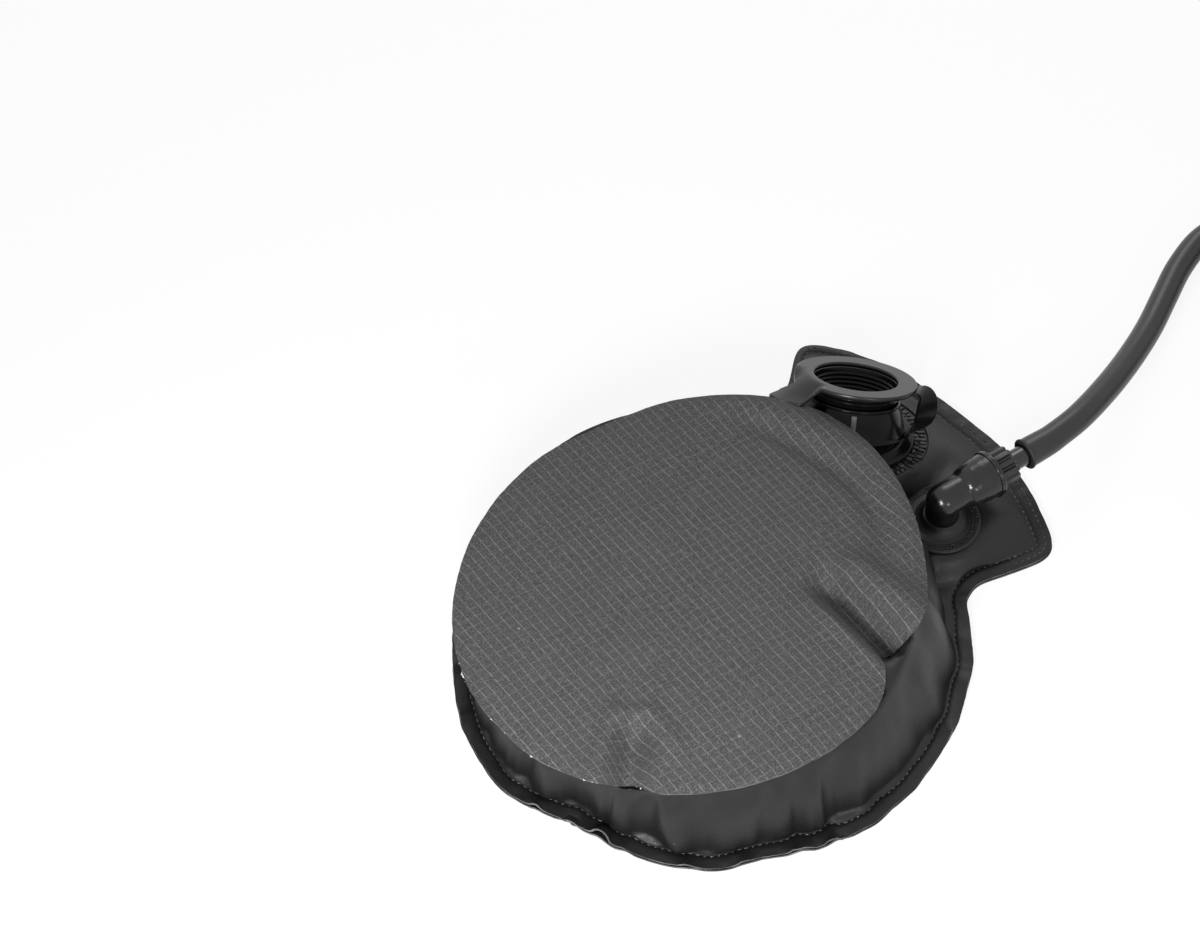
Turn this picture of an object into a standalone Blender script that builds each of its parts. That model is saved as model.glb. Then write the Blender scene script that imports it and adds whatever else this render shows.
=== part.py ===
"""Foot pump of a portable pressure shower, with the air hose that runs to its tank.

The pump is a fabric bellows: a flat base sheet and a domed top film, sewn together round the edge,
with a foam block inside that lifts the dome after each step. A fan shaped tail carries the tilted
intake valve and the outlet elbow. Metres, +Z up. The origin is the middle of the round pump on the
floor, and +Y points along the tail.
"""

import math

import bmesh
import bpy
from mathutils import Matrix, Vector

MM = 0.001

# Fits
GAP = 0.3 * MM
FILM = 0.8 * MM

# Base outline: a round pump with a fan shaped tail on its +Y side
PUMP_RADIUS = 93.0 * MM
TAIL_RADIUS = 132.0 * MM
NECK_ANGLE = math.radians(54.5)
CORNER_ANGLE = math.radians(60.6)
NECK_ROUNDING = 9.0 * MM
CORNER_ROUNDING = 9.0 * MM
SEAM_WIDTH = 6.5 * MM

# Dome and the reinforcing disc that the foot presses
DOME_CENTRE = Vector((-1.0 * MM, -8.5 * MM))
WALL_SETBACK = 18.2 * MM
SHOULDER_RADIUS = PUMP_RADIUS - WALL_SETBACK
TREAD_OVERHANG = 5.2 * MM
TREAD_RADIUS = SHOULDER_RADIUS + TREAD_OVERHANG
TREAD_THICKNESS = 0.9 * MM
TREAD_TOP = 36.0 * MM
TREAD_EDGE_DROOP = 1.0 * MM
TAIL_PILLOW = 7.0 * MM
PILLOW_WIDTH = 20.0 * MM
SKIRT_FADE = 7.0 * MM
WALL_FULLNESS = 1.75
WALL_SHARES = (0.2, 0.42, 0.64, 0.85, 1.0)
TAIL_SPAN = 13.0 * MM
FOAM_INSET = 1.8 * MM
FOAM_ROUNDING = 3.0 * MM

# Creases that the photograph shows in the disc
NOTCH_ANGLE = math.radians(22.0)
NOTCH_WIDTH = math.radians(14.0)
NOTCH_DEPTH = 11.0 * MM
FLANK_ANGLE = math.radians(-8.0)
FLANK_WIDTH = math.radians(20.0)
FLANK_DEPTH = 5.0 * MM
CREASE_HEIGHT = 1.6 * MM
CREASE_WIDTH = 7.0 * MM
CREASE_START = 44.0 * MM
CREASE_END = 62.0 * MM
CREASE_HEADINGS = (math.radians(30.0), math.radians(-70.0))

# Intake valve, set off from the dome's shoulder and tilted away from it
INTAKE_SETBACK = 34.805 * MM
INTAKE_BEARING = math.radians(102.7556)
INTAKE_DISTANCE = SHOULDER_RADIUS + INTAKE_SETBACK
INTAKE_HEIGHT = 30.0 * MM
INTAKE_TOP = Vector((DOME_CENTRE.x + INTAKE_DISTANCE * math.cos(INTAKE_BEARING),
                     DOME_CENTRE.y + INTAKE_DISTANCE * math.sin(INTAKE_BEARING), INTAKE_HEIGHT))
INTAKE_TILT = math.radians(36.0)
INTAKE_HEADING = math.radians(125.0)
RING_RADIUS = 22.1 * MM
RING_HOLE = 14.9 * MM
RING_THICKNESS = 1.8 * MM
TAB_WIDTH = 17.0 * MM
TAB_HEADING = math.radians(-97.5)
TAB_REACH = 29.5 * MM
TAB_DROP = 8.6 * MM
INSERT_LENGTH = 14.7 * MM
INSERT_NECK = RING_HOLE - GAP
INSERT_THREAD = 15.5 * MM
INSERT_BORE = 13.6 * MM
GRILLE_DEPTH = 10.5 * MM
GRILLE_THICKNESS = 1.5 * MM
WINDOW_COUNT = 4
WINDOW_INNER = 4.0 * MM
WINDOW_OUTER = 10.5 * MM
SPOKE_WIDTH = 2.4 * MM
FLAP_RADIUS = 12.0 * MM
FLAP_THICKNESS = 0.8 * MM
FLAP_TRAVEL = 1.2 * MM
PIN_RADIUS = 1.1 * MM
PIN_HEAD_RADIUS = 2.4 * MM
PIN_HEAD_HEIGHT = 0.8 * MM
GASKET_THICKNESS = 0.9 * MM
GASKET_WIDTH = 2.2 * MM
BOWL_TOP_DEPTH = 9.8 * MM
BOWL_RIM_DEPTH = 18.5 * MM
BOWL_RIM_RADIUS = 20.6 * MM
LEDGE_THICKNESS = 1.4 * MM
BOWL_SPARE = 8.0 * MM

# Weld flange under the intake, on the sloping tail
WELD_DEPTH = 21.0 * MM
WELD_TILT = math.radians(20.0)
WELD_RADIUS = 24.0 * MM
WELD_THICKNESS = 1.2 * MM
FLANGE_ROOM_HEIGHT = 20.0 * MM
WELD_BORE = 16.5 * MM
TIER_RADIUS = 21.2 * MM
TIER_HEIGHT = 3.4 * MM

# Strap that ties the ring to the intake's bowl
STRAP_HEADING = math.radians(24.0)
STRAP_WIDTH = 8.0 * MM
STRAP_THICKNESS = 1.2 * MM
STRAP_REACH = 30.0 * MM

# Outlet and the swivelling elbow
OUTLET_SETBACK = 24.6293 * MM
OUTLET_BEARING = math.radians(72.2575)
OUTLET_DISTANCE = SHOULDER_RADIUS + OUTLET_SETBACK
OUTLET = Vector((DOME_CENTRE.x + OUTLET_DISTANCE * math.cos(OUTLET_BEARING),
                 DOME_CENTRE.y + OUTLET_DISTANCE * math.sin(OUTLET_BEARING)))
OUTLET_FLANGE = 14.5 * MM
OUTLET_LEVEL = 9.4 * MM
OUTLET_BOSS_RADIUS = 8.0 * MM
OUTLET_BOSS_TOP = 13.4 * MM
SPIGOT_RADIUS = 4.6 * MM
SPIGOT_LENGTH = 3.4 * MM
AIRWAY = 2.6 * MM
ELBOW_HEADING = math.radians(79.0)
ELBOW_AXIS_HEIGHT = 22.0 * MM
KNOB_RADIUS = 5.6 * MM
CHAMBER_RADIUS = 7.85 * MM
CHAMBER_START = 6.2 * MM
CHAMBER_END = 21.7 * MM
CHAMBER_LIP = 0.35 * MM
CHAMBER_LIP_LENGTH = 1.3 * MM
CHAMBER_FLOOR = 8.0 * MM
CHAMBER_BORE = 5.9 * MM
CHECK_THICKNESS = 1.2 * MM
CHECK_TRAVEL = 1.5 * MM
STUD_HEIGHT = 1.7 * MM
STUD_RADIUS = 0.8 * MM
STUD_COUNT = 3
BARB_RADIUS = 3.8 * MM
BARB_BORE = 2.2 * MM
BARB_FLANGE = 1.5 * MM
BARB_GRIP = 8.0 * MM
WASHER_THICKNESS = 1.0 * MM
NUT_RADIUS = 6.5 * MM
NUT_LENGTH = 6.9 * MM
NUT_SHANK_LENGTH = 5.6 * MM
FLUTES = 14
FLUTE_DEPTH = 0.55 * MM
BARE_TUBE = 7.0 * MM
SEAL_THICKNESS = 0.7 * MM
SEAL_GROOVE = 1.4 * MM

# Hose
HOSE_DIAMETER = 10.0 * MM
HOSE_LENGTH = 750.0 * MM
HOSE_ROUTE = [Vector(point) * MM for point in (
    (38.4, 148.6, 20.4), (35.2, 168.9, 15.6), (30.6, 188.4, 10.6), (25.3, 206.6, 7.3),
    (19.4, 222.9, 6.1), (14.3, 237.9, 5.9), (11.8, 254.2, 5.9), (15.1, 269.5, 5.9),
    (23.9, 283.3, 5.9), (30.7, 290.6, 5.9))]
RUN_END = Vector((44.4, 305.2, 5.9)) * MM
HOSE_STEP = 22.0 * MM
COIL_RADIUS = 55.0 * MM
COIL_STEPS = 33
COIL_CLIMB = 10.7 * MM
CLIMB_START = 0.60
CLIMB_END = 1.00
LOOP_POINTS = 24
TAIL_SETTLE = 60.0 * MM
TIE_STEP = 4.5
TIE_WIDTH = 8.0 * MM
TIE_THICKNESS = 0.6 * MM

# Connector at the tank's end of the hose
UNION_START = 7.0 * MM
UNION_LENGTH = 12.0 * MM
SHOULDER_START = 14.0 * MM
SHOULDER_LENGTH = 1.5 * MM
SHOULDER_FLANGE = 5.4 * MM
NOZZLE_LENGTH = 24.0 * MM

# Facets
LARGE_ROUND = 40
SMALL_ROUND = 24
RIGHT_ANGLE = math.radians(90.0)

UP = Vector((0.0, 0.0, 1.0))


# Scene setup

def clear_scene():
    for old in list(bpy.data.objects):
        bpy.data.objects.remove(old, do_unlink=True)


def new_collection(name):
    collection = bpy.data.collections.new(name)
    bpy.context.scene.collection.children.link(collection)
    return collection


def make_material(name, colour, roughness, metallic=0.0):
    material = bpy.data.materials.new(name)
    material.use_nodes = True
    shader = material.node_tree.nodes["Principled BSDF"]
    shader.inputs["Base Color"].default_value = (*colour, 1.0)
    shader.inputs["Roughness"].default_value = roughness
    shader.inputs["Metallic"].default_value = metallic
    material.diffuse_color = (*colour, 1.0)
    return material


# Directions and frames

def polar(radius, angle):
    return Vector((radius * math.cos(angle), radius * math.sin(angle)))


def tilted(angle, heading):
    """Unit vector that leans from +Z by an angle toward a heading."""
    flat = polar(math.sin(angle), heading)
    return Vector((flat.x, flat.y, math.cos(angle)))


def frame_at(origin, axis, toward):
    """Frame with Z on an axis and X as near to another direction as it can be."""
    z_axis = axis.normalized()
    x_axis = (toward - z_axis * toward.dot(z_axis)).normalized()
    y_axis = z_axis.cross(x_axis)
    rotation = Matrix((x_axis, y_axis, z_axis)).transposed()
    return Matrix.Translation(origin) @ rotation.to_4x4()


INTAKE_AXIS = tilted(INTAKE_TILT, INTAKE_HEADING)
INTAKE_FRAME = frame_at(INTAKE_TOP, INTAKE_AXIS, Vector((1.0, 0.0, 0.0)))
WELD_AXIS = tilted(WELD_TILT, INTAKE_HEADING)
WELD_POINT = INTAKE_TOP - INTAKE_AXIS * WELD_DEPTH
WELD_FRAME = frame_at(WELD_POINT, WELD_AXIS, Vector((1.0, 0.0, 0.0)))
OUTLET_FRAME = Matrix.Translation((OUTLET.x, OUTLET.y, 0.0))
ELBOW_WAY = Vector((*polar(1.0, ELBOW_HEADING), 0.0))
ELBOW_POINT = Vector((OUTLET.x, OUTLET.y, ELBOW_AXIS_HEIGHT))
ELBOW_FRAME = frame_at(ELBOW_POINT, ELBOW_WAY, UP)

# Places along the elbow's axis, each seated on the one before
CHECK_START = CHAMBER_FLOOR + GAP
STUD_START = CHECK_START + CHECK_THICKNESS + CHECK_TRAVEL + GAP
BARB_START = STUD_START + STUD_HEIGHT
WASHER_START = BARB_START + BARB_FLANGE + GAP
SHANK_START = WASHER_START + WASHER_THICKNESS + GAP
NUT_START = CHAMBER_END + GAP
NUT_END = NUT_START + NUT_LENGTH
HOSE_START = NUT_END + BARE_TUBE
SLIDING_RADIUS = CHAMBER_BORE - GAP
TUBE_HOLE = BARB_RADIUS + GAP
HOSE_RADIUS = HOSE_DIAMETER / 2

# Sweep of the coil, a whole number of steps
COIL_STEP = math.tau / LOOP_POINTS
COIL_TURN = COIL_STEP * COIL_STEPS

# Heights in the pump
FILM_EDGE_TOP = FILM + GAP + FILM
DOME_TOP = TREAD_TOP - TREAD_THICKNESS - GAP


# Shape helpers

def smoothstep(value):
    clamped = min(1.0, max(0.0, value))
    return clamped * clamped * (3.0 - 2.0 * clamped)


def mix(first, second, share):
    return first + (second - first) * share


def bell(distance, width):
    return math.exp(-(distance / width) ** 2)


def arc(radius, start, end, count):
    """Points on an arc round the origin, both ends included."""
    return [polar(radius, mix(start, end, i / (count - 1))) for i in range(count)]


def bend(start, corner, end, count):
    """Points that round a corner from one point to another, both ends left out."""
    points = []
    for i in range(1, count + 1):
        share = i / (count + 1)
        points.append(mix(mix(start, corner, share), mix(corner, end, share), share))
    return points


def circle(radius, count, centre=Vector((0.0, 0.0))):
    return [centre + polar(radius, math.tau * i / count) for i in range(count)]


def place(name, mesh, material, frame, collection):
    made = bpy.data.objects.new(name, mesh)
    made.matrix_world = frame
    if material is not None:
        mesh.materials.clear()
        mesh.materials.append(material)
    collection.objects.link(made)
    return made


def smooth_round(mesh):
    mesh.shade_smooth()
    mesh.set_sharp_from_angle(angle=math.radians(35.0))


def turned(name, profile, material, frame, collection, facets=SMALL_ROUND):
    """Solid of revolution about the frame's Z from (radius, height) points, outer side first."""
    mesh = bpy.data.meshes.new(name)
    shape = bmesh.new()
    corners = [shape.verts.new((radius, 0.0, height)) for radius, height in profile]
    for first, second in zip(corners, corners[1:]):
        shape.edges.new((first, second))
    if profile[0][0] > 0.0:
        shape.edges.new((corners[-1], corners[0]))
    shape.to_mesh(mesh)
    shape.free()
    made = place(name, mesh, material, frame, collection)
    screw = made.modifiers.new("turn", "SCREW")
    screw.axis = "Z"
    screw.steps = facets
    screw.render_steps = facets
    screw.use_merge_vertices = True
    screw.merge_threshold = 0.00001
    screw.use_smooth_shade = False
    return baked(made)


def baked(made):
    """Replace an object's mesh by the shape that its modifiers make."""
    bpy.context.view_layer.update()
    evaluated = made.evaluated_get(bpy.context.evaluated_depsgraph_get())
    mesh = bpy.data.meshes.new_from_object(evaluated)
    mesh.name = made.name
    made.modifiers.clear()
    if made.type == "MESH":
        made.data = mesh
        smooth_round(mesh)
        return made
    name, frame = made.name, made.matrix_world.copy()
    collection = made.users_collection[0]
    bpy.data.objects.remove(made, do_unlink=True)
    shape = bmesh.new()
    shape.from_mesh(mesh)
    bmesh.ops.remove_doubles(shape, verts=shape.verts, dist=0.000002)
    bmesh.ops.recalc_face_normals(shape, faces=shape.faces)
    shape.to_mesh(mesh)
    shape.free()
    smooth_round(mesh)
    return place(name, mesh, None, frame, collection)


def plate(name, loops, thickness, material, frame, collection):
    """Flat solid between closed outlines, centred on its frame's XY plane."""
    curve = bpy.data.curves.new(name, "CURVE")
    curve.dimensions = "2D"
    curve.fill_mode = "BOTH"
    curve.extrude = thickness / 2
    for loop in loops:
        spline = curve.splines.new("POLY")
        spline.points.add(len(loop) - 1)
        for point, place_2d in zip(spline.points, loop):
            point.co = (place_2d[0], place_2d[1], 0.0, 1.0)
        spline.use_cyclic_u = True
    curve.materials.append(material)
    made = bpy.data.objects.new(name, curve)
    made.matrix_world = frame
    collection.objects.link(made)
    return baked(made)


def tube(name, points, radius, resolution, material, collection):
    """Round solid along points, with closed ends."""
    curve = bpy.data.curves.new(name, "CURVE")
    curve.dimensions = "3D"
    curve.twist_mode = "MINIMUM"
    curve.bevel_depth = radius
    curve.bevel_resolution = resolution
    curve.use_fill_caps = True
    spline = curve.splines.new("POLY")
    spline.points.add(len(points) - 1)
    for point, spot in zip(spline.points, points):
        point.co = (*spot, 1.0)
    curve.materials.append(material)
    made = bpy.data.objects.new(name, curve)
    collection.objects.link(made)
    return baked(made)


def combine(target, other, operation):
    """Boolean of one object with another, applied at once; a joined piece is removed."""
    boolean = target.modifiers.new(operation.lower(), "BOOLEAN")
    boolean.operation = operation
    boolean.object = other
    baked(target)
    if operation == "UNION":
        bpy.data.objects.remove(other, do_unlink=True)


def cutter(profile, frame, facets=SMALL_ROUND):
    """Turned solid that only cuts."""
    made = turned("cutter", profile, None, frame, CUTTERS, facets)
    made.hide_render = True
    made.display_type = "WIRE"
    return made


def rod(radius, start, end):
    """Profile of a plain solid cylinder along its axis."""
    return [(0.0, end), (radius, end), (radius, start), (0.0, start)]


def sleeve(inner, outer, start, end):
    """Profile of a plain ring along its axis."""
    return [(outer, end), (outer, start), (inner, start), (inner, end)]


def strip_outline(path, thickness):
    """Side view of a band that follows a path of 2D points."""
    left = []
    right = []
    for i, point in enumerate(path):
        before = path[max(i - 1, 0)]
        after = path[min(i + 1, len(path) - 1)]
        way = (after - before).normalized()
        side = Vector((-way.y, way.x)) * (thickness / 2)
        left.append(point + side)
        right.append(point - side)
    return left + right[::-1]


def smooth_path(points, per_span):
    """Points on a Catmull-Rom curve through the given ones."""
    ends = [points[0] * 2 - points[1]] + list(points) + [points[-1] * 2 - points[-2]]
    path = []
    for before, start, end, after in zip(ends, ends[1:], ends[2:], ends[3:]):
        for i in range(per_span):
            t = i / per_span
            path.append(0.5 * (2 * start + (end - before) * t
                               + (2 * before - 5 * start + 4 * end - after) * t ** 2
                               + (3 * start - before - 3 * end + after) * t ** 3))
    path.append(points[-1])
    return path


def path_length(points):
    return sum((second - first).length for first, second in zip(points, points[1:]))


def evenly(points, step):
    """Points at even distances along a dense path, both ends kept."""
    count = max(1, round(path_length(points) / step))
    spacing = path_length(points) / count
    even = [points[0]]
    walked = 0.0
    for first, second in zip(points, points[1:]):
        length = (second - first).length
        while len(even) < count and walked + length >= spacing * len(even):
            share = (spacing * len(even) - walked) / length
            even.append(mix(first, second, share))
        walked += length
    even.append(points[-1])
    return even


# Base outline

def half_outline():
    """Right half of the base's edge, from the front round to the tail's middle."""
    neck = polar(PUMP_RADIUS, NECK_ANGLE)
    corner = polar(TAIL_RADIUS, CORNER_ANGLE)
    side = (corner - neck).normalized()
    pump = arc(PUMP_RADIUS, -RIGHT_ANGLE, NECK_ANGLE - NECK_ROUNDING / PUMP_RADIUS, 15)
    tail = arc(TAIL_RADIUS, CORNER_ANGLE + CORNER_ROUNDING / TAIL_RADIUS, RIGHT_ANGLE, 7)
    neck_out = neck + side * NECK_ROUNDING
    corner_in = corner - side * CORNER_ROUNDING
    points = pump + bend(pump[-1], neck, neck_out, 2) + [neck_out, mix(neck_out, corner_in, 0.5)]
    return points + [corner_in] + bend(corner_in, corner, tail[0], 2) + tail


def outline():
    """Whole edge of the base, counter-clockwise."""
    right = half_outline()
    left = [Vector((-point.x, point.y)) for point in right[1:-1]]
    return right + left[::-1]


def inset(points, distance):
    """Outline moved inward by a distance."""
    moved = []
    for i, point in enumerate(points):
        way = (points[(i + 1) % len(points)] - points[i - 1]).normalized()
        moved.append(point + Vector((-way.y, way.x)) * distance)
    return moved


# Fabric surfaces

def weld_plane_height(point):
    """Height of the film under the intake's weld flange."""
    seat = WELD_POINT - WELD_AXIS * (WELD_THICKNESS + 2 * GAP)
    away = Vector((point.x - seat.x, point.y - seat.y))
    lean = Vector((WELD_AXIS.x, WELD_AXIS.y))
    return seat.z - lean.dot(away) / WELD_AXIS.z


def tail_height(point, edge_distance):
    """Height of the film over the tail: a low pillow with two seats in it."""
    height = FILM_EDGE_TOP + TAIL_PILLOW * smoothstep(edge_distance / PILLOW_WIDTH)
    from_outlet = (point - OUTLET).length
    height = mix(height, OUTLET_LEVEL - 2 * GAP, 1 - smoothstep((from_outlet - OUTLET_FLANGE) / SKIRT_FADE))
    from_weld = (point - WELD_POINT.xy).length
    return mix(height, weld_plane_height(point), 1 - smoothstep((from_weld - WELD_RADIUS) / SKIRT_FADE))


def bladder_rings(depth):
    """Rings from the sewn edge up the wall to the flat of the dome, moved inward by a depth."""
    edge = outline()
    seam = inset(edge, SEAM_WIDTH)
    level = FILM_EDGE_TOP - depth
    rings = []
    if depth == 0.0:
        rings += [[(*point, FILM + GAP) for point in edge], [(*point, level) for point in edge]]
        rings.append([(*point, level) for point in seam])
    else:
        rings += [[(*point, 0.0) for point in inset(edge, SEAM_WIDTH + depth)]]
    for share in WALL_SHARES:
        ring = []
        for foot in seam:
            top = DOME_CENTRE + (foot - DOME_CENTRE).normalized() * SHOULDER_RADIUS
            span = (top - foot).length
            point = mix(foot, top, share)
            wall = mix(FILM_EDGE_TOP, DOME_TOP, 1 - (1 - share) ** WALL_FULLNESS)
            tail = tail_height(point, share * span)
            in_tail = smoothstep((span - TAIL_SPAN) / TAIL_SPAN)
            height = mix(wall, tail, in_tail) if share < 1.0 else DOME_TOP
            inward = (DOME_CENTRE - foot).normalized() * depth
            ring.append((*(point + inward), height - depth))
        rings.append(ring)
    return rings


def lofted_solid(name, rings, centre, material, collection):
    """Solid under rings of points and a middle point, closed by the first ring's own face."""
    mesh = bpy.data.meshes.new(name)
    shape = bmesh.new()
    rows = [[shape.verts.new(point) for point in ring] for ring in rings]
    for outer, inner in zip(rows, rows[1:]):
        for i in range(len(outer)):
            j = (i + 1) % len(outer)
            shape.faces.new((outer[i], outer[j], inner[j], inner[i]))
    middle = shape.verts.new(centre)
    last = rows[-1]
    for i in range(len(last)):
        shape.faces.new((last[i], last[(i + 1) % len(last)], middle))
    shape.faces.new(rows[0][::-1])
    bmesh.ops.triangulate(shape, faces=shape.faces)
    shape.to_mesh(mesh)
    shape.free()
    return place(name, mesh, material, Matrix(), collection)


def lofted_sheet(name, rings, centre, thickness, material, collection):
    """Sheet through rings of points and a middle point, given its thickness downward."""
    mesh = bpy.data.meshes.new(name)
    shape = bmesh.new()
    rows = [[shape.verts.new(point) for point in ring] for ring in rings]
    for outer, inner in zip(rows, rows[1:]):
        for i in range(len(outer)):
            j = (i + 1) % len(outer)
            shape.faces.new((outer[i], outer[j], inner[j], inner[i]))
    middle = shape.verts.new(centre)
    last = rows[-1]
    for i in range(len(last)):
        shape.faces.new((last[i], last[(i + 1) % len(last)], middle))
    shape.to_mesh(mesh)
    shape.free()
    made = place(name, mesh, material, Matrix(), collection)
    solidify = made.modifiers.new("thickness", "SOLIDIFY")
    solidify.thickness = thickness
    solidify.offset = -1.0
    return baked(made)


def tread_radius(angle):
    """Edge of the disc, drawn in where its folds gather it."""
    notch = NOTCH_DEPTH * bell(angle - NOTCH_ANGLE, NOTCH_WIDTH)
    flank = FLANK_DEPTH * bell(angle - FLANK_ANGLE, FLANK_WIDTH)
    return TREAD_RADIUS - notch - flank


def tread_height(offset):
    """Top of the disc at an offset from the dome's middle, with its two raised creases."""
    radius = offset.length
    height = TREAD_TOP - TREAD_EDGE_DROOP * smoothstep((radius - SHOULDER_RADIUS) / (4 * MM))
    for heading in CREASE_HEADINGS:
        along = offset.dot(polar(1.0, heading))
        across = offset.dot(polar(1.0, heading + RIGHT_ANGLE))
        rise = smoothstep((along - CREASE_START) / (CREASE_END - CREASE_START))
        height += CREASE_HEIGHT * rise * bell(across, CREASE_WIDTH)
    return height


# Fabric pieces

def make_base_sheet():
    frame = Matrix.Translation((0.0, 0.0, FILM / 2))
    return plate("base_sheet", [outline()], FILM, FABRIC, frame, PARTS)


def room_for_flanges(solid, depth):
    """Cut the seats of both weld flanges into a solid, deeper by the given depth."""
    reach = FLANGE_ROOM_HEIGHT
    weld = rod(WELD_RADIUS + GAP + depth, -WELD_THICKNESS - GAP - depth, reach)
    combine(solid, cutter(weld, WELD_FRAME, LARGE_ROUND), "DIFFERENCE")
    outlet = rod(OUTLET_FLANGE + GAP + depth, OUTLET_LEVEL - GAP - depth, OUTLET_LEVEL + reach)
    combine(solid, cutter(outlet, OUTLET_FRAME), "DIFFERENCE")


def make_bladder_top():
    """Domed film: an outer solid with a smaller one taken out of it, and holes for both valves."""
    film = lofted_solid("bladder_top", bladder_rings(0.0), (*DOME_CENTRE, DOME_TOP), FABRIC, PARTS)
    room_for_flanges(film, 0.0)
    inside = lofted_solid("inside", bladder_rings(FILM), (*DOME_CENTRE, DOME_TOP - FILM), None, CUTTERS)
    inside.hide_render = True
    inside.display_type = "WIRE"
    room_for_flanges(inside, FILM)
    combine(film, inside, "DIFFERENCE")
    depth = WELD_DEPTH + WELD_RADIUS
    combine(film, cutter(rod(WELD_BORE + GAP, -depth, depth), WELD_FRAME, LARGE_ROUND), "DIFFERENCE")
    combine(film, cutter(rod(OUTLET_BOSS_RADIUS, FILM + 2 * GAP, ELBOW_AXIS_HEIGHT), OUTLET_FRAME), "DIFFERENCE")
    return film


def make_foam_core():
    bottom = FILM + GAP
    top = DOME_TOP - FILM - GAP
    outer = SHOULDER_RADIUS - FOAM_INSET
    inner = outer - FOAM_ROUNDING
    profile = [(0.0, top), (inner, top), (outer, top - FOAM_ROUNDING), (outer, bottom), (0.0, bottom)]
    frame = Matrix.Translation((*DOME_CENTRE, 0.0))
    return turned("foam_core", profile, FOAM, frame, PARTS, LARGE_ROUND)


def make_tread_disc():
    count = 60
    rings = []
    for share in (1.0, 0.955, 0.86, 0.75, 0.63, 0.48, 0.25):
        ring = []
        for i in range(count):
            angle = math.tau * i / count
            if angle > math.pi:
                angle -= math.tau
            offset = polar(tread_radius(angle) * share, angle)
            ring.append((*(DOME_CENTRE + offset), tread_height(offset)))
        rings.append(ring)
    centre = (*DOME_CENTRE, TREAD_TOP)
    return lofted_sheet("tread_disc", rings, centre, TREAD_THICKNESS, RIPSTOP, PARTS)


# Intake valve

def make_intake_seat():
    """Bowl and weld flange of the intake, tilted to one another as the soft moulding sits."""
    mouth = INSERT_THREAD + GAP
    bowl = [(0.0, -BOWL_TOP_DEPTH), (mouth + 1.2 * MM, -BOWL_TOP_DEPTH),
            (mouth + 2.2 * MM, -BOWL_TOP_DEPTH - 1.6 * MM), (mouth + 3.6 * MM, -BOWL_TOP_DEPTH - 4.4 * MM),
            (BOWL_RIM_RADIUS, -BOWL_RIM_DEPTH), (BOWL_RIM_RADIUS - 1.0 * MM, -BOWL_RIM_DEPTH - 0.5 * MM),
            (BOWL_RIM_RADIUS - 1.0 * MM, -WELD_DEPTH - BOWL_SPARE), (0.0, -WELD_DEPTH - BOWL_SPARE)]
    seat = turned("intake_seat", bowl, MOULDED, INTAKE_FRAME, PARTS, LARGE_ROUND)
    below = cutter(rod(2 * WELD_RADIUS, -2 * WELD_RADIUS, -WELD_THICKNESS), WELD_FRAME, LARGE_ROUND)
    combine(seat, below, "DIFFERENCE")
    flange = [(0.0, TIER_HEIGHT), (TIER_RADIUS - 1.2 * MM, TIER_HEIGHT), (TIER_RADIUS, 0.6 * MM),
              (WELD_RADIUS - 1.4 * MM, 0.5 * MM), (WELD_RADIUS - 0.9 * MM, 0.0), (WELD_RADIUS, 0.0),
              (WELD_RADIUS, -WELD_THICKNESS), (0.0, -WELD_THICKNESS)]
    combine(seat, turned("flange", flange, MOULDED, WELD_FRAME, PARTS, LARGE_ROUND), "UNION")
    ledge_top = -INSERT_LENGTH - GAP - GASKET_THICKNESS - GAP
    inside = [(0.0, 0.0), (mouth, 0.0), (mouth, ledge_top), (INSERT_BORE - 0.6 * MM, ledge_top),
              (INSERT_BORE - 0.6 * MM, ledge_top - LEDGE_THICKNESS), (WELD_BORE, ledge_top - LEDGE_THICKNESS),
              (WELD_BORE, -2 * WELD_DEPTH), (0.0, -2 * WELD_DEPTH)]
    combine(seat, cutter(inside, INTAKE_FRAME, LARGE_ROUND), "DIFFERENCE")
    return seat


def make_insert_gasket():
    outer = INSERT_THREAD
    top = -INSERT_LENGTH - GAP
    profile = sleeve(outer - GASKET_WIDTH, outer, top - GASKET_THICKNESS, top)
    return turned("insert_gasket", profile, RUBBER, INTAKE_FRAME, PARTS, LARGE_ROUND)


def window(index):
    """Outline of one air window in the insert's grille, between two spokes."""
    middle = math.tau * (index + 0.5) / WINDOW_COUNT
    outline_2d = []
    for radius, order in ((WINDOW_OUTER, 1), (WINDOW_INNER, -1)):
        half = math.pi / WINDOW_COUNT - SPOKE_WIDTH / 2 / radius
        steps = [middle + order * half * (2 * i / 6 - 1) for i in range(7)]
        outline_2d += [polar(radius, angle) for angle in steps]
    return outline_2d


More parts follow.
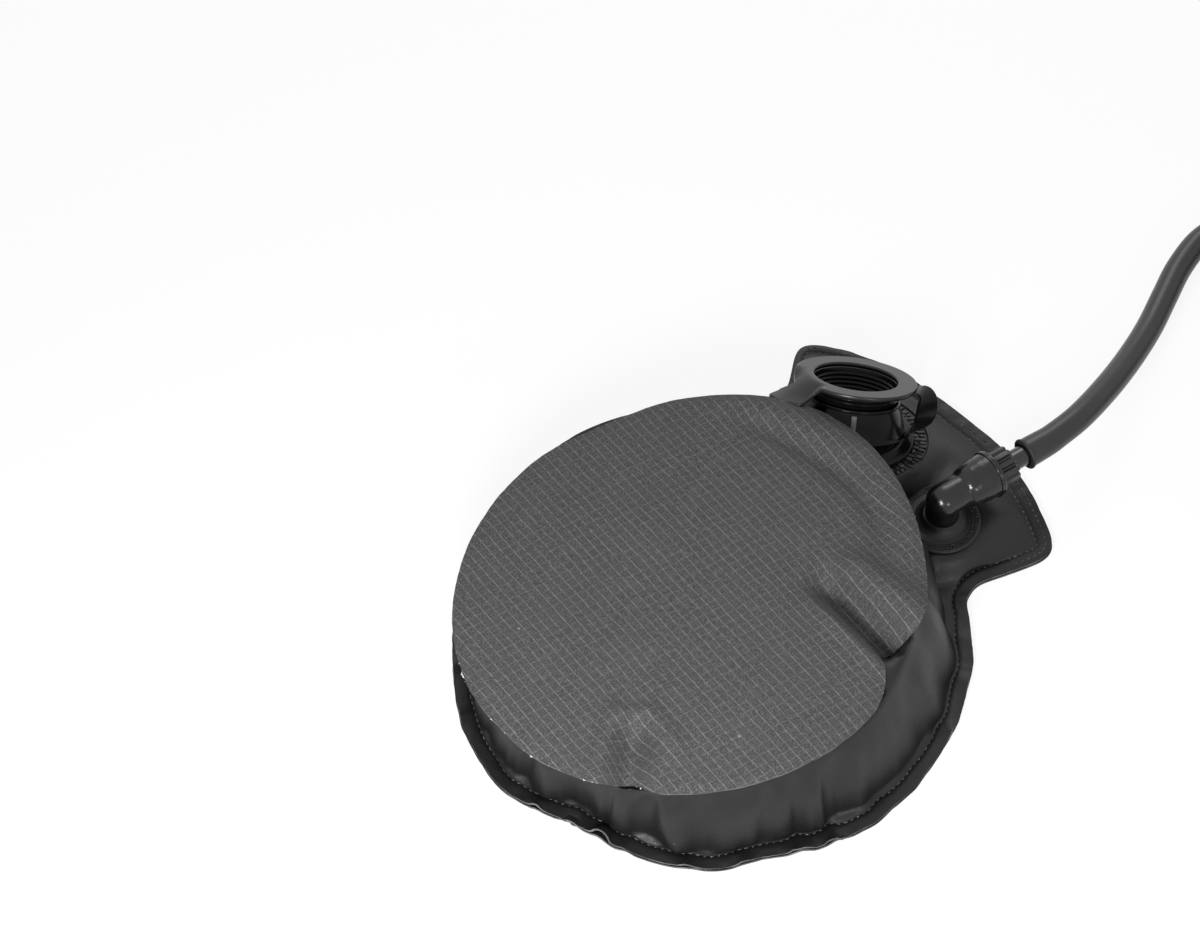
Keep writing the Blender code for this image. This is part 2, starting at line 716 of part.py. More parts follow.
def make_valve_insert():
    """Threaded neck with the air grille moulded across it."""
    grille_bottom = -GRILLE_DEPTH - GRILLE_THICKNESS
    below_bore = INSERT_BORE - 0.2 * MM
    profile = [(0.0, -GRILLE_DEPTH), (INSERT_BORE, -GRILLE_DEPTH), (INSERT_BORE, -0.5 * MM),
               (INSERT_BORE + 0.4 * MM, 0.0), (INSERT_NECK, 0.0), (INSERT_NECK, -RING_THICKNESS - GAP),
               (INSERT_THREAD, -RING_THICKNESS - GAP), (INSERT_THREAD, -INSERT_LENGTH + 0.5 * MM),
               (INSERT_THREAD - 0.5 * MM, -INSERT_LENGTH), (below_bore, -INSERT_LENGTH),
               (below_bore, grille_bottom), (0.0, grille_bottom)]
    insert = turned("valve_insert", profile, MOULDED, INTAKE_FRAME, PARTS, LARGE_ROUND)
    middle = INTAKE_FRAME @ Matrix.Translation((0.0, 0.0, -GRILLE_DEPTH - GRILLE_THICKNESS / 2))
    depth = GRILLE_THICKNESS + 2 * MM
    for index in range(WINDOW_COUNT):
        cut = plate("window_cutter", [window(index)], depth, MOULDED, middle, CUTTERS)
        cut.hide_render = True
        cut.display_type = "WIRE"
        combine(insert, cut, "DIFFERENCE")
    combine(insert, cutter(rod(PIN_RADIUS + GAP, -INSERT_LENGTH, 0.0), INTAKE_FRAME), "DIFFERENCE")
    return insert


def make_intake_flap():
    top = -GRILLE_DEPTH - GRILLE_THICKNESS - GAP
    profile = sleeve(PIN_RADIUS + GAP, FLAP_RADIUS, top - FLAP_THICKNESS, top)
    return turned("intake_flap", profile, RUBBER, INTAKE_FRAME, PARTS, LARGE_ROUND)


def make_flap_pin():
    head = -GRILLE_DEPTH + GAP
    stop = -GRILLE_DEPTH - GRILLE_THICKNESS - GAP - FLAP_THICKNESS - FLAP_TRAVEL - GAP
    profile = [(0.0, head + PIN_HEAD_HEIGHT), (PIN_HEAD_RADIUS * 0.7, head + PIN_HEAD_HEIGHT),
               (PIN_HEAD_RADIUS, head + PIN_HEAD_HEIGHT / 2), (PIN_HEAD_RADIUS, head), (PIN_RADIUS, head),
               (PIN_RADIUS, stop), (PIN_HEAD_RADIUS, stop), (PIN_HEAD_RADIUS, stop - PIN_HEAD_HEIGHT),
               (0.0, stop - PIN_HEAD_HEIGHT)]
    return turned("flap_pin", profile, MOULDED, INTAKE_FRAME, PARTS)


def side_frame(heading):
    """Frame for a band seen from its side: X leaves the ring, Y is the intake's axis."""
    flat = Vector((*polar(1.0, heading), 0.0))
    across = frame_at(INTAKE_TOP, INTAKE_AXIS, flat)
    return across @ Matrix.Rotation(RIGHT_ANGLE, 4, "X")


def make_retainer_ring():
    """Flat ring round the insert's neck, with its finger tab bent down toward the dome."""
    middle = INTAKE_FRAME @ Matrix.Translation((0.0, 0.0, -RING_THICKNESS / 2))
    loops = [circle(RING_RADIUS, LARGE_ROUND), circle(RING_HOLE, LARGE_ROUND)]
    ring = plate("retainer_ring", loops, RING_THICKNESS, MOULDED, middle, PARTS)
    half = RING_THICKNESS / 2
    root = RING_RADIUS - 3 * MM
    path = smooth_path([Vector((root, -half)), Vector((RING_RADIUS + 1.6 * MM, -half - 0.3 * MM)),
                        Vector((TAB_REACH - 1.6 * MM, -half - TAB_DROP * 0.42)),
                        Vector((TAB_REACH, -TAB_DROP))], 3)
    side = strip_outline(path, RING_THICKNESS * 0.8)
    tab = plate("tab", [side], TAB_WIDTH, MOULDED, side_frame(TAB_HEADING), PARTS)
    combine(ring, tab, "UNION")
    return ring


def make_retainer_strap():
    """Band from the ring's edge out and down to the intake's bowl."""
    start = RING_RADIUS + GAP
    foot = BOWL_RIM_RADIUS + GAP + STRAP_THICKNESS / 2
    path = smooth_path([Vector((start, -0.9 * MM)), Vector((mix(start, STRAP_REACH, 0.55), -1.2 * MM)),
                        Vector((STRAP_REACH - 0.8 * MM, -4.2 * MM)), Vector((STRAP_REACH, -8.5 * MM)),
                        Vector((mix(STRAP_REACH, foot, 0.35), -12.6 * MM)),
                        Vector((foot + 0.6 * MM, -15.4 * MM)), Vector((foot, -BOWL_RIM_DEPTH + 0.6 * MM))], 3)
    side = strip_outline(path, STRAP_THICKNESS)
    return plate("retainer_strap", [side], STRAP_WIDTH, MOULDED, side_frame(STRAP_HEADING), PARTS)


# Outlet and elbow

def make_outlet_seat():
    """Weld flange with its low ribs and the boss that the elbow turns in."""
    top = OUTLET_LEVEL + 1.2 * MM
    bore = SPIGOT_RADIUS + GAP
    floor = OUTLET_BOSS_TOP + GAP - SPIGOT_LENGTH - GAP
    rib = 0.4 * MM
    profile = [(OUTLET_BOSS_RADIUS - 0.6 * MM, OUTLET_BOSS_TOP), (OUTLET_BOSS_RADIUS, OUTLET_BOSS_TOP - 0.6 * MM),
               (OUTLET_BOSS_RADIUS + 0.4 * MM, top), (10.6 * MM, top), (11.0 * MM, top + rib),
               (11.5 * MM, top), (12.4 * MM, top), (12.8 * MM, top + rib), (13.3 * MM, top),
               (OUTLET_FLANGE, top - 0.4 * MM), (OUTLET_FLANGE, OUTLET_LEVEL), (AIRWAY, OUTLET_LEVEL),
               (AIRWAY, floor), (bore, floor), (bore, OUTLET_BOSS_TOP)]
    return turned("outlet_seat", profile, MOULDED, OUTLET_FRAME, PARTS, 32)


def make_elbow():
    """Swivelling elbow with the round valve chamber that holds the outlet check."""
    knob = [(KNOB_RADIUS * math.sin(RIGHT_ANGLE * i / 4), -KNOB_RADIUS * math.cos(RIGHT_ANGLE * i / 4))
            for i in range(5)]
    rim = CHAMBER_RADIUS + CHAMBER_LIP
    body = [(0.0, CHAMBER_END), (rim, CHAMBER_END), (rim, CHAMBER_END - CHAMBER_LIP_LENGTH),
            (CHAMBER_RADIUS, CHAMBER_END - CHAMBER_LIP_LENGTH - 0.2 * MM),
            (CHAMBER_RADIUS, CHAMBER_START + 2.2 * MM), (CHAMBER_RADIUS - 0.8 * MM, CHAMBER_START + 0.8 * MM),
            (KNOB_RADIUS + 0.5 * MM, CHAMBER_START)]
    elbow = turned("elbow", body + knob[::-1], MOULDED, ELBOW_FRAME, PARTS, 28)
    leg_foot = OUTLET_BOSS_TOP + GAP
    groove_top = leg_foot - 1.0 * MM
    groove = SPIGOT_RADIUS - 1.0 * MM
    leg = [(0.0, ELBOW_AXIS_HEIGHT), (KNOB_RADIUS, ELBOW_AXIS_HEIGHT), (KNOB_RADIUS, leg_foot),
           (SPIGOT_RADIUS, leg_foot), (SPIGOT_RADIUS, groove_top), (groove, groove_top),
           (groove, groove_top - SEAL_GROOVE), (SPIGOT_RADIUS, groove_top - SEAL_GROOVE),
           (SPIGOT_RADIUS, leg_foot - SPIGOT_LENGTH), (0.0, leg_foot - SPIGOT_LENGTH)]
    combine(elbow, turned("leg", leg, MOULDED, OUTLET_FRAME, PARTS, 28), "UNION")
    combine(elbow, cutter(rod(CHAMBER_BORE, CHAMBER_FLOOR, CHAMBER_END + 5 * MM), ELBOW_FRAME, 28), "DIFFERENCE")
    combine(elbow, cutter(rod(AIRWAY, 0.0, CHAMBER_FLOOR + 1 * MM), ELBOW_FRAME), "DIFFERENCE")
    combine(elbow, cutter(rod(AIRWAY, 0.0, ELBOW_AXIS_HEIGHT + AIRWAY / 2), OUTLET_FRAME), "DIFFERENCE")
    return elbow


def seal_ring(name, groove, place_on_axis, frame):
    """Round rubber ring lying in a groove of the given radius."""
    section = SEAL_THICKNESS / 2
    mesh = bpy.data.meshes.new(name)
    shape = bmesh.new()
    rows = []
    for i in range(SMALL_ROUND):
        way = polar(1.0, math.tau * i / SMALL_ROUND)
        row = []
        for j in range(8):
            swing = math.tau * j / 8
            radius = groove + GAP + section + section * math.cos(swing)
            row.append(shape.verts.new((way.x * radius, way.y * radius, place_on_axis + section * math.sin(swing))))
        rows.append(row)
    for i, row in enumerate(rows):
        following = rows[(i + 1) % len(rows)]
        for j in range(8):
            k = (j + 1) % 8
            shape.faces.new((row[j], following[j], following[k], row[k]))
    shape.to_mesh(mesh)
    shape.free()
    smooth_round(mesh)
    return place(name, mesh, RUBBER, frame, PARTS)


def make_elbow_seal():
    middle = OUTLET_BOSS_TOP + GAP - 1.0 * MM - SEAL_GROOVE / 2
    return seal_ring("elbow_seal", SPIGOT_RADIUS - 1.0 * MM, middle, OUTLET_FRAME)


def make_check_disc():
    profile = rod(SLIDING_RADIUS - 0.4 * MM, CHECK_START, CHECK_START + CHECK_THICKNESS)
    return turned("check_disc", profile, RUBBER, ELBOW_FRAME, PARTS)


def make_hose_barb():
    """Tube that the hose grips, with a flange and three studs that stop the check disc."""
    flange_end = BARB_START + BARB_FLANGE
    tip = HOSE_START + BARB_GRIP
    profile = [(BARB_RADIUS - 0.5 * MM, tip), (BARB_RADIUS, tip - 1.2 * MM), (BARB_RADIUS, flange_end),
               (SLIDING_RADIUS, flange_end), (SLIDING_RADIUS, BARB_START), (BARB_BORE, BARB_START),
               (BARB_BORE, tip)]
    barb = turned("hose_barb", profile, MOULDED, ELBOW_FRAME, PARTS)
    for index in range(STUD_COUNT):
        spot = polar(mix(BARB_BORE, SLIDING_RADIUS, 0.52), math.tau * index / STUD_COUNT)
        frame = ELBOW_FRAME @ Matrix.Translation((*spot, 0.0))
        stud = turned("stud", rod(STUD_RADIUS, STUD_START, BARB_START + BARB_FLANGE / 2), MOULDED, frame, PARTS, 10)
        combine(barb, stud, "UNION")
    return barb


def make_gland_washer():
    profile = sleeve(TUBE_HOLE, SLIDING_RADIUS, WASHER_START, WASHER_START + WASHER_THICKNESS)
    return turned("gland_washer", profile, RUBBER, ELBOW_FRAME, PARTS)


def fluted_outline():
    """Grip outline of a nut with half round flutes cut in it."""
    per_flute = 6
    loop = []
    for i in range(FLUTES * per_flute):
        phase = (i % per_flute) / per_flute
        cut = FLUTE_DEPTH * max(0.0, math.sin(math.tau * phase))
        loop.append(polar(NUT_RADIUS - cut, math.tau * i / (FLUTES * per_flute)))
    return loop


def make_gland_nut():
    """Fluted nut that screws into the chamber and clamps the barb's flange."""
    middle = ELBOW_FRAME @ Matrix.Translation((0.0, 0.0, (NUT_START + NUT_END) / 2))
    loops = [fluted_outline(), circle(TUBE_HOLE, SMALL_ROUND)]
    nut = plate("gland_nut", loops, NUT_LENGTH, MOULDED, middle, PARTS)
    shank = sleeve(TUBE_HOLE, SLIDING_RADIUS, SHANK_START, NUT_START + 1 * MM)
    combine(nut, turned("shank", shank, MOULDED, ELBOW_FRAME, PARTS), "UNION")
    return nut


# Hose

def run_path():
    """Free stretch of the hose, from the barb to the coil."""
    start = ELBOW_POINT + ELBOW_WAY * HOSE_START
    straight = start + ELBOW_WAY * (HOSE_DIAMETER + 1 * MM)
    last_bend = HOSE_ROUTE[-1]
    square = RUN_END - (RUN_END - last_bend).normalized() * HOSE_DIAMETER
    curve = smooth_path([straight] + HOSE_ROUTE + [square], 12)
    return [start] + evenly(curve, HOSE_STEP) + [RUN_END]


def coil_path():
    """Put-away turns, laid flat and then climbing onto their own start."""
    way = (RUN_END - HOSE_ROUTE[-1]).normalized()
    start = RUN_END + way * GAP
    lead_end = start + way * HOSE_DIAMETER
    centre = lead_end + Vector((way.y, -way.x, 0.0)) * COIL_RADIUS
    first = math.atan2(lead_end.y - centre.y, lead_end.x - centre.x)
    points = [start]
    for i in range(COIL_STEPS + 1):
        swept = COIL_STEP * i
        climbed = smoothstep((swept / math.tau - CLIMB_START) / (CLIMB_END - CLIMB_START))
        spot = polar(COIL_RADIUS, first - swept)
        points.append(centre + Vector((spot.x, spot.y, COIL_CLIMB * climbed)))
    heading = first - COIL_TURN - RIGHT_ANGLE
    leave = Vector((*polar(1.0, heading), 0.0))
    points.append(points[-1] + leave * HOSE_DIAMETER)
    return points, centre, first, leave


def tail_path():
    """Last stretch, which comes down off the coil to the connector."""
    turns, centre, first, leave = coil_path()
    start = turns[-1] + leave * GAP
    used = path_length(run_path()) + path_length(turns)
    length = HOSE_LENGTH - used
    floor = NUT_RADIUS + GAP
    points = []
    count = 8
    for i in range(count + 1):
        travelled = length * i / count
        settled = smoothstep((travelled - HOSE_DIAMETER) / (length - 2.5 * HOSE_DIAMETER))
        spot = start + leave * travelled
        points.append(Vector((spot.x, spot.y, mix(start.z, floor, settled))))
    return points, leave


def bore_end(hose, end, way, depth):
    """Open the hose's end for the tube that it grips."""
    frame = frame_at(end, way, UP)
    combine(hose, cutter(rod(TUBE_HOLE, -1 * MM, depth), frame), "DIFFERENCE")


def make_hose():
    run = tube("hose_run", run_path(), HOSE_RADIUS, 3, HOSE, PARTS)
    bore_end(run, ELBOW_POINT + ELBOW_WAY * HOSE_START, ELBOW_WAY, BARB_GRIP + GAP)
    turns, centre, first, leave = coil_path()
    tube("hose_coil", turns, HOSE_RADIUS, 1, HOSE, PARTS)
    tail, way = tail_path()
    last = tube("hose_tail", tail, HOSE_RADIUS, 3, HOSE, PARTS)
    bore_end(last, tail[-1], -way, BARB_GRIP + GAP)
    print("hose total length mm", round(1000 * (path_length(run_path()) + path_length(turns)
                                                + path_length(tail)), 1))
    print("coil least gap mm", round(1000 * least_gap(turns), 2))


def least_gap(points):
    """Smallest space between turns of a tube, measured a third of a turn or more apart."""
    apart = LOOP_POINTS // 3
    gaps = []
    for i, point in enumerate(points):
        for other in points[i + apart:]:
            gaps.append((other - point).length - HOSE_DIAMETER)
    return min(gaps)


def stadium(half_width, half_height, facets):
    """Upright outline with round ends."""
    lift = Vector((0.0, half_height - half_width))
    top = [lift + polar(half_width, math.pi * i / facets) for i in range(facets + 1)]
    bottom = [polar(half_width, math.pi + math.pi * i / facets) - lift for i in range(facets + 1)]
    return top + bottom


def make_coil_tie():
    """Band that holds the two stacked turns together."""
    turns, centre, first, leave = coil_path()
    spot = polar(COIL_RADIUS * math.cos(COIL_STEP / 2), first - COIL_STEP * TIE_STEP)
    middle = centre + Vector((spot.x, spot.y, COIL_CLIMB / 2))
    along = Vector((spot.y, -spot.x, 0.0)).normalized()
    frame = frame_at(middle, along, along.cross(UP))
    half_width = HOSE_RADIUS + GAP
    half_height = half_width + COIL_CLIMB / 2
    loops = [stadium(half_width + TIE_THICKNESS, half_height + TIE_THICKNESS, 8),
             stadium(half_width, half_height, 8)]
    return plate("coil_tie", loops, TIE_WIDTH, WEBBING, frame, PARTS)


# Connector at the tank's end

def nozzle_frame():
    tail, way = tail_path()
    return frame_at(tail[-1], way, UP)


def make_tank_nozzle():
    frame = nozzle_frame()
    shoulder_end = SHOULDER_START + SHOULDER_LENGTH
    groove_end = NOZZLE_LENGTH - 2.6 * MM
    groove = SPIGOT_RADIUS - 1.0 * MM
    profile = [(SPIGOT_RADIUS, NOZZLE_LENGTH), (SPIGOT_RADIUS, groove_end), (groove, groove_end),
               (groove, groove_end - SEAL_GROOVE), (SPIGOT_RADIUS, groove_end - SEAL_GROOVE),
               (SPIGOT_RADIUS, shoulder_end), (SHOULDER_FLANGE, shoulder_end),
               (SHOULDER_FLANGE, SHOULDER_START), (BARB_RADIUS, SHOULDER_START),
               (BARB_RADIUS, 1.2 * MM - BARB_GRIP), (BARB_RADIUS - 0.5 * MM, -BARB_GRIP),
               (BARB_BORE, -BARB_GRIP), (BARB_BORE, NOZZLE_LENGTH)]
    return turned("tank_nozzle", profile, MOULDED, frame, PARTS)


def make_tank_nut():
    """Union nut that turns freely behind the nozzle's shoulder."""
    middle = nozzle_frame() @ Matrix.Translation((0.0, 0.0, UNION_START + UNION_LENGTH / 2))
    loops = [fluted_outline(), circle(TUBE_HOLE, SMALL_ROUND)]
    nut = plate("tank_nut", loops, UNION_LENGTH, MOULDED, middle, PARTS)
    room = rod(SHOULDER_FLANGE + GAP, SHOULDER_START - GAP, UNION_START + UNION_LENGTH + 1 * MM)
    combine(nut, cutter(room, nozzle_frame()), "DIFFERENCE")
    return nut


def make_nozzle_seal():
    middle = NOZZLE_LENGTH - 2.6 * MM - SEAL_GROOVE / 2
    return seal_ring("nozzle_seal", SPIGOT_RADIUS - 1.0 * MM, middle, nozzle_frame())


clear_scene()
PARTS = new_collection("shower_foot_pump")
CUTTERS = new_collection("cutters")
FABRIC = make_material("black_coated_fabric", (0.016, 0.016, 0.017), 0.55)
RIPSTOP = make_material("grey_ripstop", (0.055, 0.055, 0.056), 0.75)
FOAM = make_material("foam", (0.45, 0.43, 0.38), 0.95)
MOULDED = make_material("black_moulding", (0.018, 0.018, 0.019), 0.32)
RUBBER = make_material("rubber", (0.02, 0.02, 0.02), 0.6)
HOSE = make_material("hose_rubber", (0.028, 0.028, 0.029), 0.45)
WEBBING = make_material("webbing", (0.02, 0.02, 0.02), 0.85)

make_base_sheet()
make_bladder_top()
make_foam_core()
make_tread_disc()
make_intake_seat()
make_insert_gasket()
make_valve_insert()
make_intake_flap()
make_flap_pin()
make_retainer_ring()
make_retainer_strap()
make_outlet_seat()
make_elbow()
make_elbow_seal()
make_check_disc()
make_hose_barb()
make_gland_washer()
make_gland_nut()
make_hose()
make_coil_tie()
make_tank_nozzle()
make_tank_nut()
make_nozzle_seal()
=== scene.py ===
"""Looks of the foot pump of a portable shower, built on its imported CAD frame.

Metres, +Z up, +Y along the pump's tail. Tables of profiles and outlines are in millimetres. Each operator
builds one group of pieces, and the panel in the sidebar calls them one by one.
"""

import math

import bmesh
import bpy
import numpy as np
from bpy.props import FloatProperty, FloatVectorProperty, IntProperty, PointerProperty
from mathutils import Matrix, Vector


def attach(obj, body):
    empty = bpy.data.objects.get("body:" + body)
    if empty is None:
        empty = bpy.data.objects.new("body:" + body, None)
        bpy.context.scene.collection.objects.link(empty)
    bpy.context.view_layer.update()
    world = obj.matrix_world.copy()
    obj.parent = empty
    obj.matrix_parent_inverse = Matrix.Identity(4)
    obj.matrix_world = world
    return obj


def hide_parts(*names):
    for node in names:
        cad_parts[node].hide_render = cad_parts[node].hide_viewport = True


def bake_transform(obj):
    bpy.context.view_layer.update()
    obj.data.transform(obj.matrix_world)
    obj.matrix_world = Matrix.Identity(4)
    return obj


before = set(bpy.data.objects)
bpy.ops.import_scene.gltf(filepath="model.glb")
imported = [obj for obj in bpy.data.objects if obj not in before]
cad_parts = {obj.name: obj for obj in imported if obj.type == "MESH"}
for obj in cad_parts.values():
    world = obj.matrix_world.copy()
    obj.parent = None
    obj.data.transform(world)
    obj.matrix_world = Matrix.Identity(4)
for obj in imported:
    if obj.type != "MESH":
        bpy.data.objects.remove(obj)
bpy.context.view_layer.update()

bl_info = {
    "name": "Shower foot pump",
    "version": (1, 0, 0),
    "blender": (4, 5, 0),
    "location": "View3D > Sidebar > Pump",
    "description": "Builds the visible pieces of a shower's foot pump on its CAD frame",
    "category": "Object",
}

MM = 0.001

# Sizes shared with the CAD
GAP = 0.3 * MM
FILM = 0.8 * MM
DOME_CENTRE = Vector((-1.0, -8.5)) * MM
SHOULDER_RADIUS = 74.8 * MM
TREAD_RADIUS = 80.0 * MM
TREAD_TOP = 36.0 * MM
DOME_TOP = 34.8 * MM
FILM_EDGE_TOP = 1.9 * MM
INTAKE_TOP = Vector((-25.2, 98.4, 30.0)) * MM
INTAKE_TILT = math.radians(36.0)
INTAKE_HEADING = math.radians(125.0)
WELD_DEPTH = 21.0 * MM
WELD_TILT = math.radians(20.0)
WELD_RADIUS = 24.0 * MM
WELD_THICKNESS = 1.2 * MM
OUTLET = Vector((29.3, 86.2)) * MM
OUTLET_FLANGE = 14.5 * MM
OUTLET_LEVEL = 9.4 * MM
ELBOW_HEADING = math.radians(79.0)
ELBOW_HEIGHT = 22.0 * MM
NUT_START = 22.0 * MM
NUT_LENGTH = 6.9 * MM
BARE_TUBE = 7.0 * MM
HOSE_DIAMETER = 10.0 * MM
HOSE_LENGTH = 750.0 * MM
HOSE_ROUTE = [Vector(point) * MM for point in (
    (38.4, 148.6, 20.4), (35.2, 168.9, 15.6), (30.6, 188.4, 10.6), (25.3, 206.6, 7.3),
    (19.4, 222.9, 6.1), (14.3, 237.9, 5.9), (11.8, 254.2, 5.9), (15.1, 269.5, 5.9),
    (23.9, 283.3, 5.9), (30.7, 290.6, 5.9))]
RUN_END = Vector((44.4, 305.2, 5.9)) * MM
COIL_RADIUS = 55.0 * MM
COIL_STEP = math.radians(15.0)
COIL_STEPS = 33
COIL_CLIMB = 10.7 * MM
NUT_RADIUS = 6.5 * MM

# Camera, solved from the photograph
VIEW_AZIMUTH = math.radians(46.1)
VIEW_ELEVATION = math.radians(56.5)
VIEW_DISTANCE = 1.0
VIEW_FOCAL = 2850.0
PHOTO_SIZE = (1200.0, 941.0)
ORIGIN_PIXEL = (709.75, 626.88)
SENSOR = 36.0

# Lights: name; place to the right of the view, toward it and up; target; size and power
LIGHTS = (("key", (-0.1, 0.3, 0.26), (-0.01, -0.03, 0.02), 0.13, 1.45),
          ("front", (0.34, 0.5, 0.34), (0.03, 0.06, 0.02), 0.12, 0.7),
          ("back", (0.1, -0.9, 0.7), (0, 0.1, 0.02), 0.5, 1.9))
SKY_STRENGTH = 0.31
FLOOR_HALF, FLOOR_LEVEL = 3.0, -0.4 * MM

# Outlines: degrees and radii of the sheets' front, points of the tail, the back; then the disc's edge
PUMP_EDGE = ((-180, 91.6), (-165, 91.2), (-150, 90.2), (-139, 89.8), (-131, 90.2), (-123, 91.3), (-116, 92.8),
             (-110, 94.7), (-105, 95.1), (-98, 95.9), (-92, 96.7), (-85, 94.5), (-80, 91.7), (-74, 90.6),
             (-66, 92.5), (-55, 93.6), (-48, 94.7), (-43, 94.1), (-38, 92.8), (-33, 90.6), (-28, 92.4),
             (-18, 93.6), (-8, 94.2), (4, 93.4), (20, 93.0), (36, 92.8), (46, 91.2))
TAIL_EDGE = ((55.6, 71.9), (53.1, 79.4), (57.1, 88.3), (63.4, 105.1), (63.1, 110.8), (56.9, 115.3), (40.6, 123.0),
             (20.0, 129.9), (-4.6, 129.9), (-28.1, 128.3), (-47.0, 121.3), (-59.4, 113.7), (-61.9, 109.8),
             (-61.4, 107.0), (-57.3, 101.3), (-52.6, 94.5), (-50.0, 88.0), (-50.5, 80.0), (-55.0, 73.0))
BACK_EDGE = ((135, 92.5), (150, 92.4), (165, 91.8))
DISC_EDGE = ((-180, 74.5), (-168, 75.6), (-155, 77.3), (-146, 78.8), (-137, 80.4), (-127, 82.4), (-119, 83.6),
             (-110, 84.8), (-101, 85.0), (-92, 84.4), (-84, 84.6), (-78, 83.6), (-68, 81.5), (-64, 80.3), (-58, 79.6),
             (-47, 79.0), (-40, 78.0), (-33, 77.4), (-28, 76.8), (-12, 76.4), (2, 76.6), (8, 76.4), (13, 75.2),
             (19, 71.8), (23, 67.0), (27, 70.2), (32, 75.9), (40, 79.2), (47, 79.7), (60, 80.6), (72, 82.4),
             (83, 84.5), (93, 85.6), (104, 85.4), (113, 83.6), (121, 81.2), (130, 78.8), (140, 76.2), (151, 73.4),
             (165, 73.0))

# Gathers of the seam: degrees, width and size
PUCKERS = ((-150, 2.4, 0.7), (-134, 2.2, 0.6), (-123, 2.2, 0.7), (-112, 2.2, 0.8), (-89, 1.7, 0.5), (-84, 1.7, 0.6),
           (-76, 2.6, 1.3), (-69, 2.4, 1.4), (-63, 1.8, 0.8), (-49, 2.2, 0.9), (-38, 2.0, 0.6), (-26, 2.6, 1.4),
           (-18, 2.4, 1.5), (-5, 2.2, 0.8), (7, 2.0, 0.5), (18, 2.2, 0.8), (31, 2.2, 0.6), (42, 2.0, 0.7),
           (52, 2.2, 0.9))

# Folds of the disc: height, width, share of the path over which each fades in and out, and its path
FOLDS = (
    # Big fold at the right: ridge, groove and lip
    (5.0, 8.0, 0.3, None, ((22.5, 33.0), (28.0, 33.5), (36.4, 35.4), (44.4, 37.0), (52.3, 38.2), (60.0, 38.8),
                           (76.0, 40.0))),
    (-9.2, 6.6, 0.3, None, ((20.8, 27.4), (25.8, 26.3), (34.5, 25.0), (43.0, 23.9), (49.8, 23.8), (57.4, 23.4),
                            (66.0, 23.6), (80.0, 24.2))),
    (3.4, 3.8, 0.35, None, ((22.0, 20.6), (33.0, 17.7), (42.8, 16.6), (49.6, 16.6), (57.4, 16.3), (66.0, 16.6),
                            (80.0, 17.0))),
    # Tent at the front: crest, valley, arc and slope
    (2.6, 5.0, 0.3, None, ((15.5, -55.0), (17.0, -60.0), (20.4, -67.5), (24.0, -75.0), (28.3, -83.5), (32.0, -92.0))),
    (-7.4, 6.0, 0.35, None, ((18.2, -56.3), (22.5, -60.5), (27.5, -65.9), (32.0, -70.8), (36.7, -76.4),
                             (42.0, -84.0))),
    (1.9, 3.6, 0.15, 0.5, ((17.0, -53.8), (24.6, -53.6), (31.0, -54.0), (36.9, -55.3), (42.8, -58.5), (47.0, -63.0))),
    (1.2, 4.0, 0.3, 0.2, ((31.0, -61.5), (36.7, -64.9), (42.5, -68.5), (50.0, -73.0), (57.0, -77.0))),
    # Rim beside the tail: valley and ridge
    (-3.0, 4.6, 0.25, 0.25, ((-46.0, 47.0), (-37.0, 53.6), (-26.6, 57.6), (-13.8, 60.5), (0.0, 62.8), (12.0, 62.5),
                             (22.0, 59.5), (33.0, 52.5), (45.0, 43.0))),
    (3.0, 7.5, 0.2, 0.2, ((-60.0, 44.0), (-47.0, 54.5), (-33.2, 61.8), (-19.0, 66.4), (1.4, 72.4), (21.5, 67.2),
                          (36.2, 58.9), (50.0, 48.0))),
)
LEAN = np.array((-0.721, 0.693))
LEAN_PER_HEIGHT = 0.662


# Small maths

def smoothstep(value):
    clamped = np.clip(value, 0.0, 1.0)
    return clamped * clamped * (3.0 - 2.0 * clamped)


def between(value, start, rise, end, fall):
    """1 between two values, with soft steps at both."""
    return smoothstep((value - start) / rise) * (1 - smoothstep((value - end) / fall))


def mix(first, second, share):
    return first + (second - first) * share


def bell(distance, width):
    return np.exp(-(distance / width) ** 2)


def polar(radius, angle):
    return Vector((radius * math.cos(angle), radius * math.sin(angle)))


def ways_at(angles):
    return np.stack([np.cos(angles), np.sin(angles)], 1)


def headings(rows):
    return np.arctan2(rows[:, 1], rows[:, 0])


def wrapped(degrees):
    return (degrees + 180) % 360 - 180


def lattice_noise(points, scale, seed):
    """Smooth noise from -1 to 1 at rows of 3D points."""
    table = np.random.RandomState(seed).uniform(-1.0, 1.0, (32, 32, 32))
    spots = np.asarray(points, float) / scale
    base = np.floor(spots).astype(int)
    part = smoothstep(spots - base)
    total = np.zeros(len(spots))
    for corner in np.ndindex(2, 2, 2):
        x, y, z = ((base + corner) % 32).T
        total += np.prod(np.where(corner, part, 1 - part), axis=1) * table[x, y, z]
    return total


def flat_noise(points, scale, seed):
    return lattice_noise(np.column_stack([points, np.zeros(len(points))]), scale, seed)


def ring_noise(angles, waves, seed):
    """Smooth noise round a circle, with about as many swings as asked."""
    spots = np.column_stack([ways_at(angles) * (waves / math.tau), np.full_like(angles, seed * 1.7)])
    return lattice_noise(spots + 50.0, 0.5, seed)


def path_distance(points, path):
    """Distance of 2D points from a path, and how far along it the nearest place lies, from 0 to 1."""
    nearest = np.full(len(points), 1e9)
    along = np.zeros(len(points))
    for i, (start, end) in enumerate(zip(path, path[1:])):
        way = end - start
        share = np.clip(((points - start) @ way) / (way @ way), 0.0, 1.0)
        gap = np.linalg.norm(points - (start + share[:, None] * way), axis=1)
        closer = gap < nearest
        nearest = np.where(closer, gap, nearest)
        along = np.where(closer, (i + share) / (len(path) - 1), along)
    return nearest, along


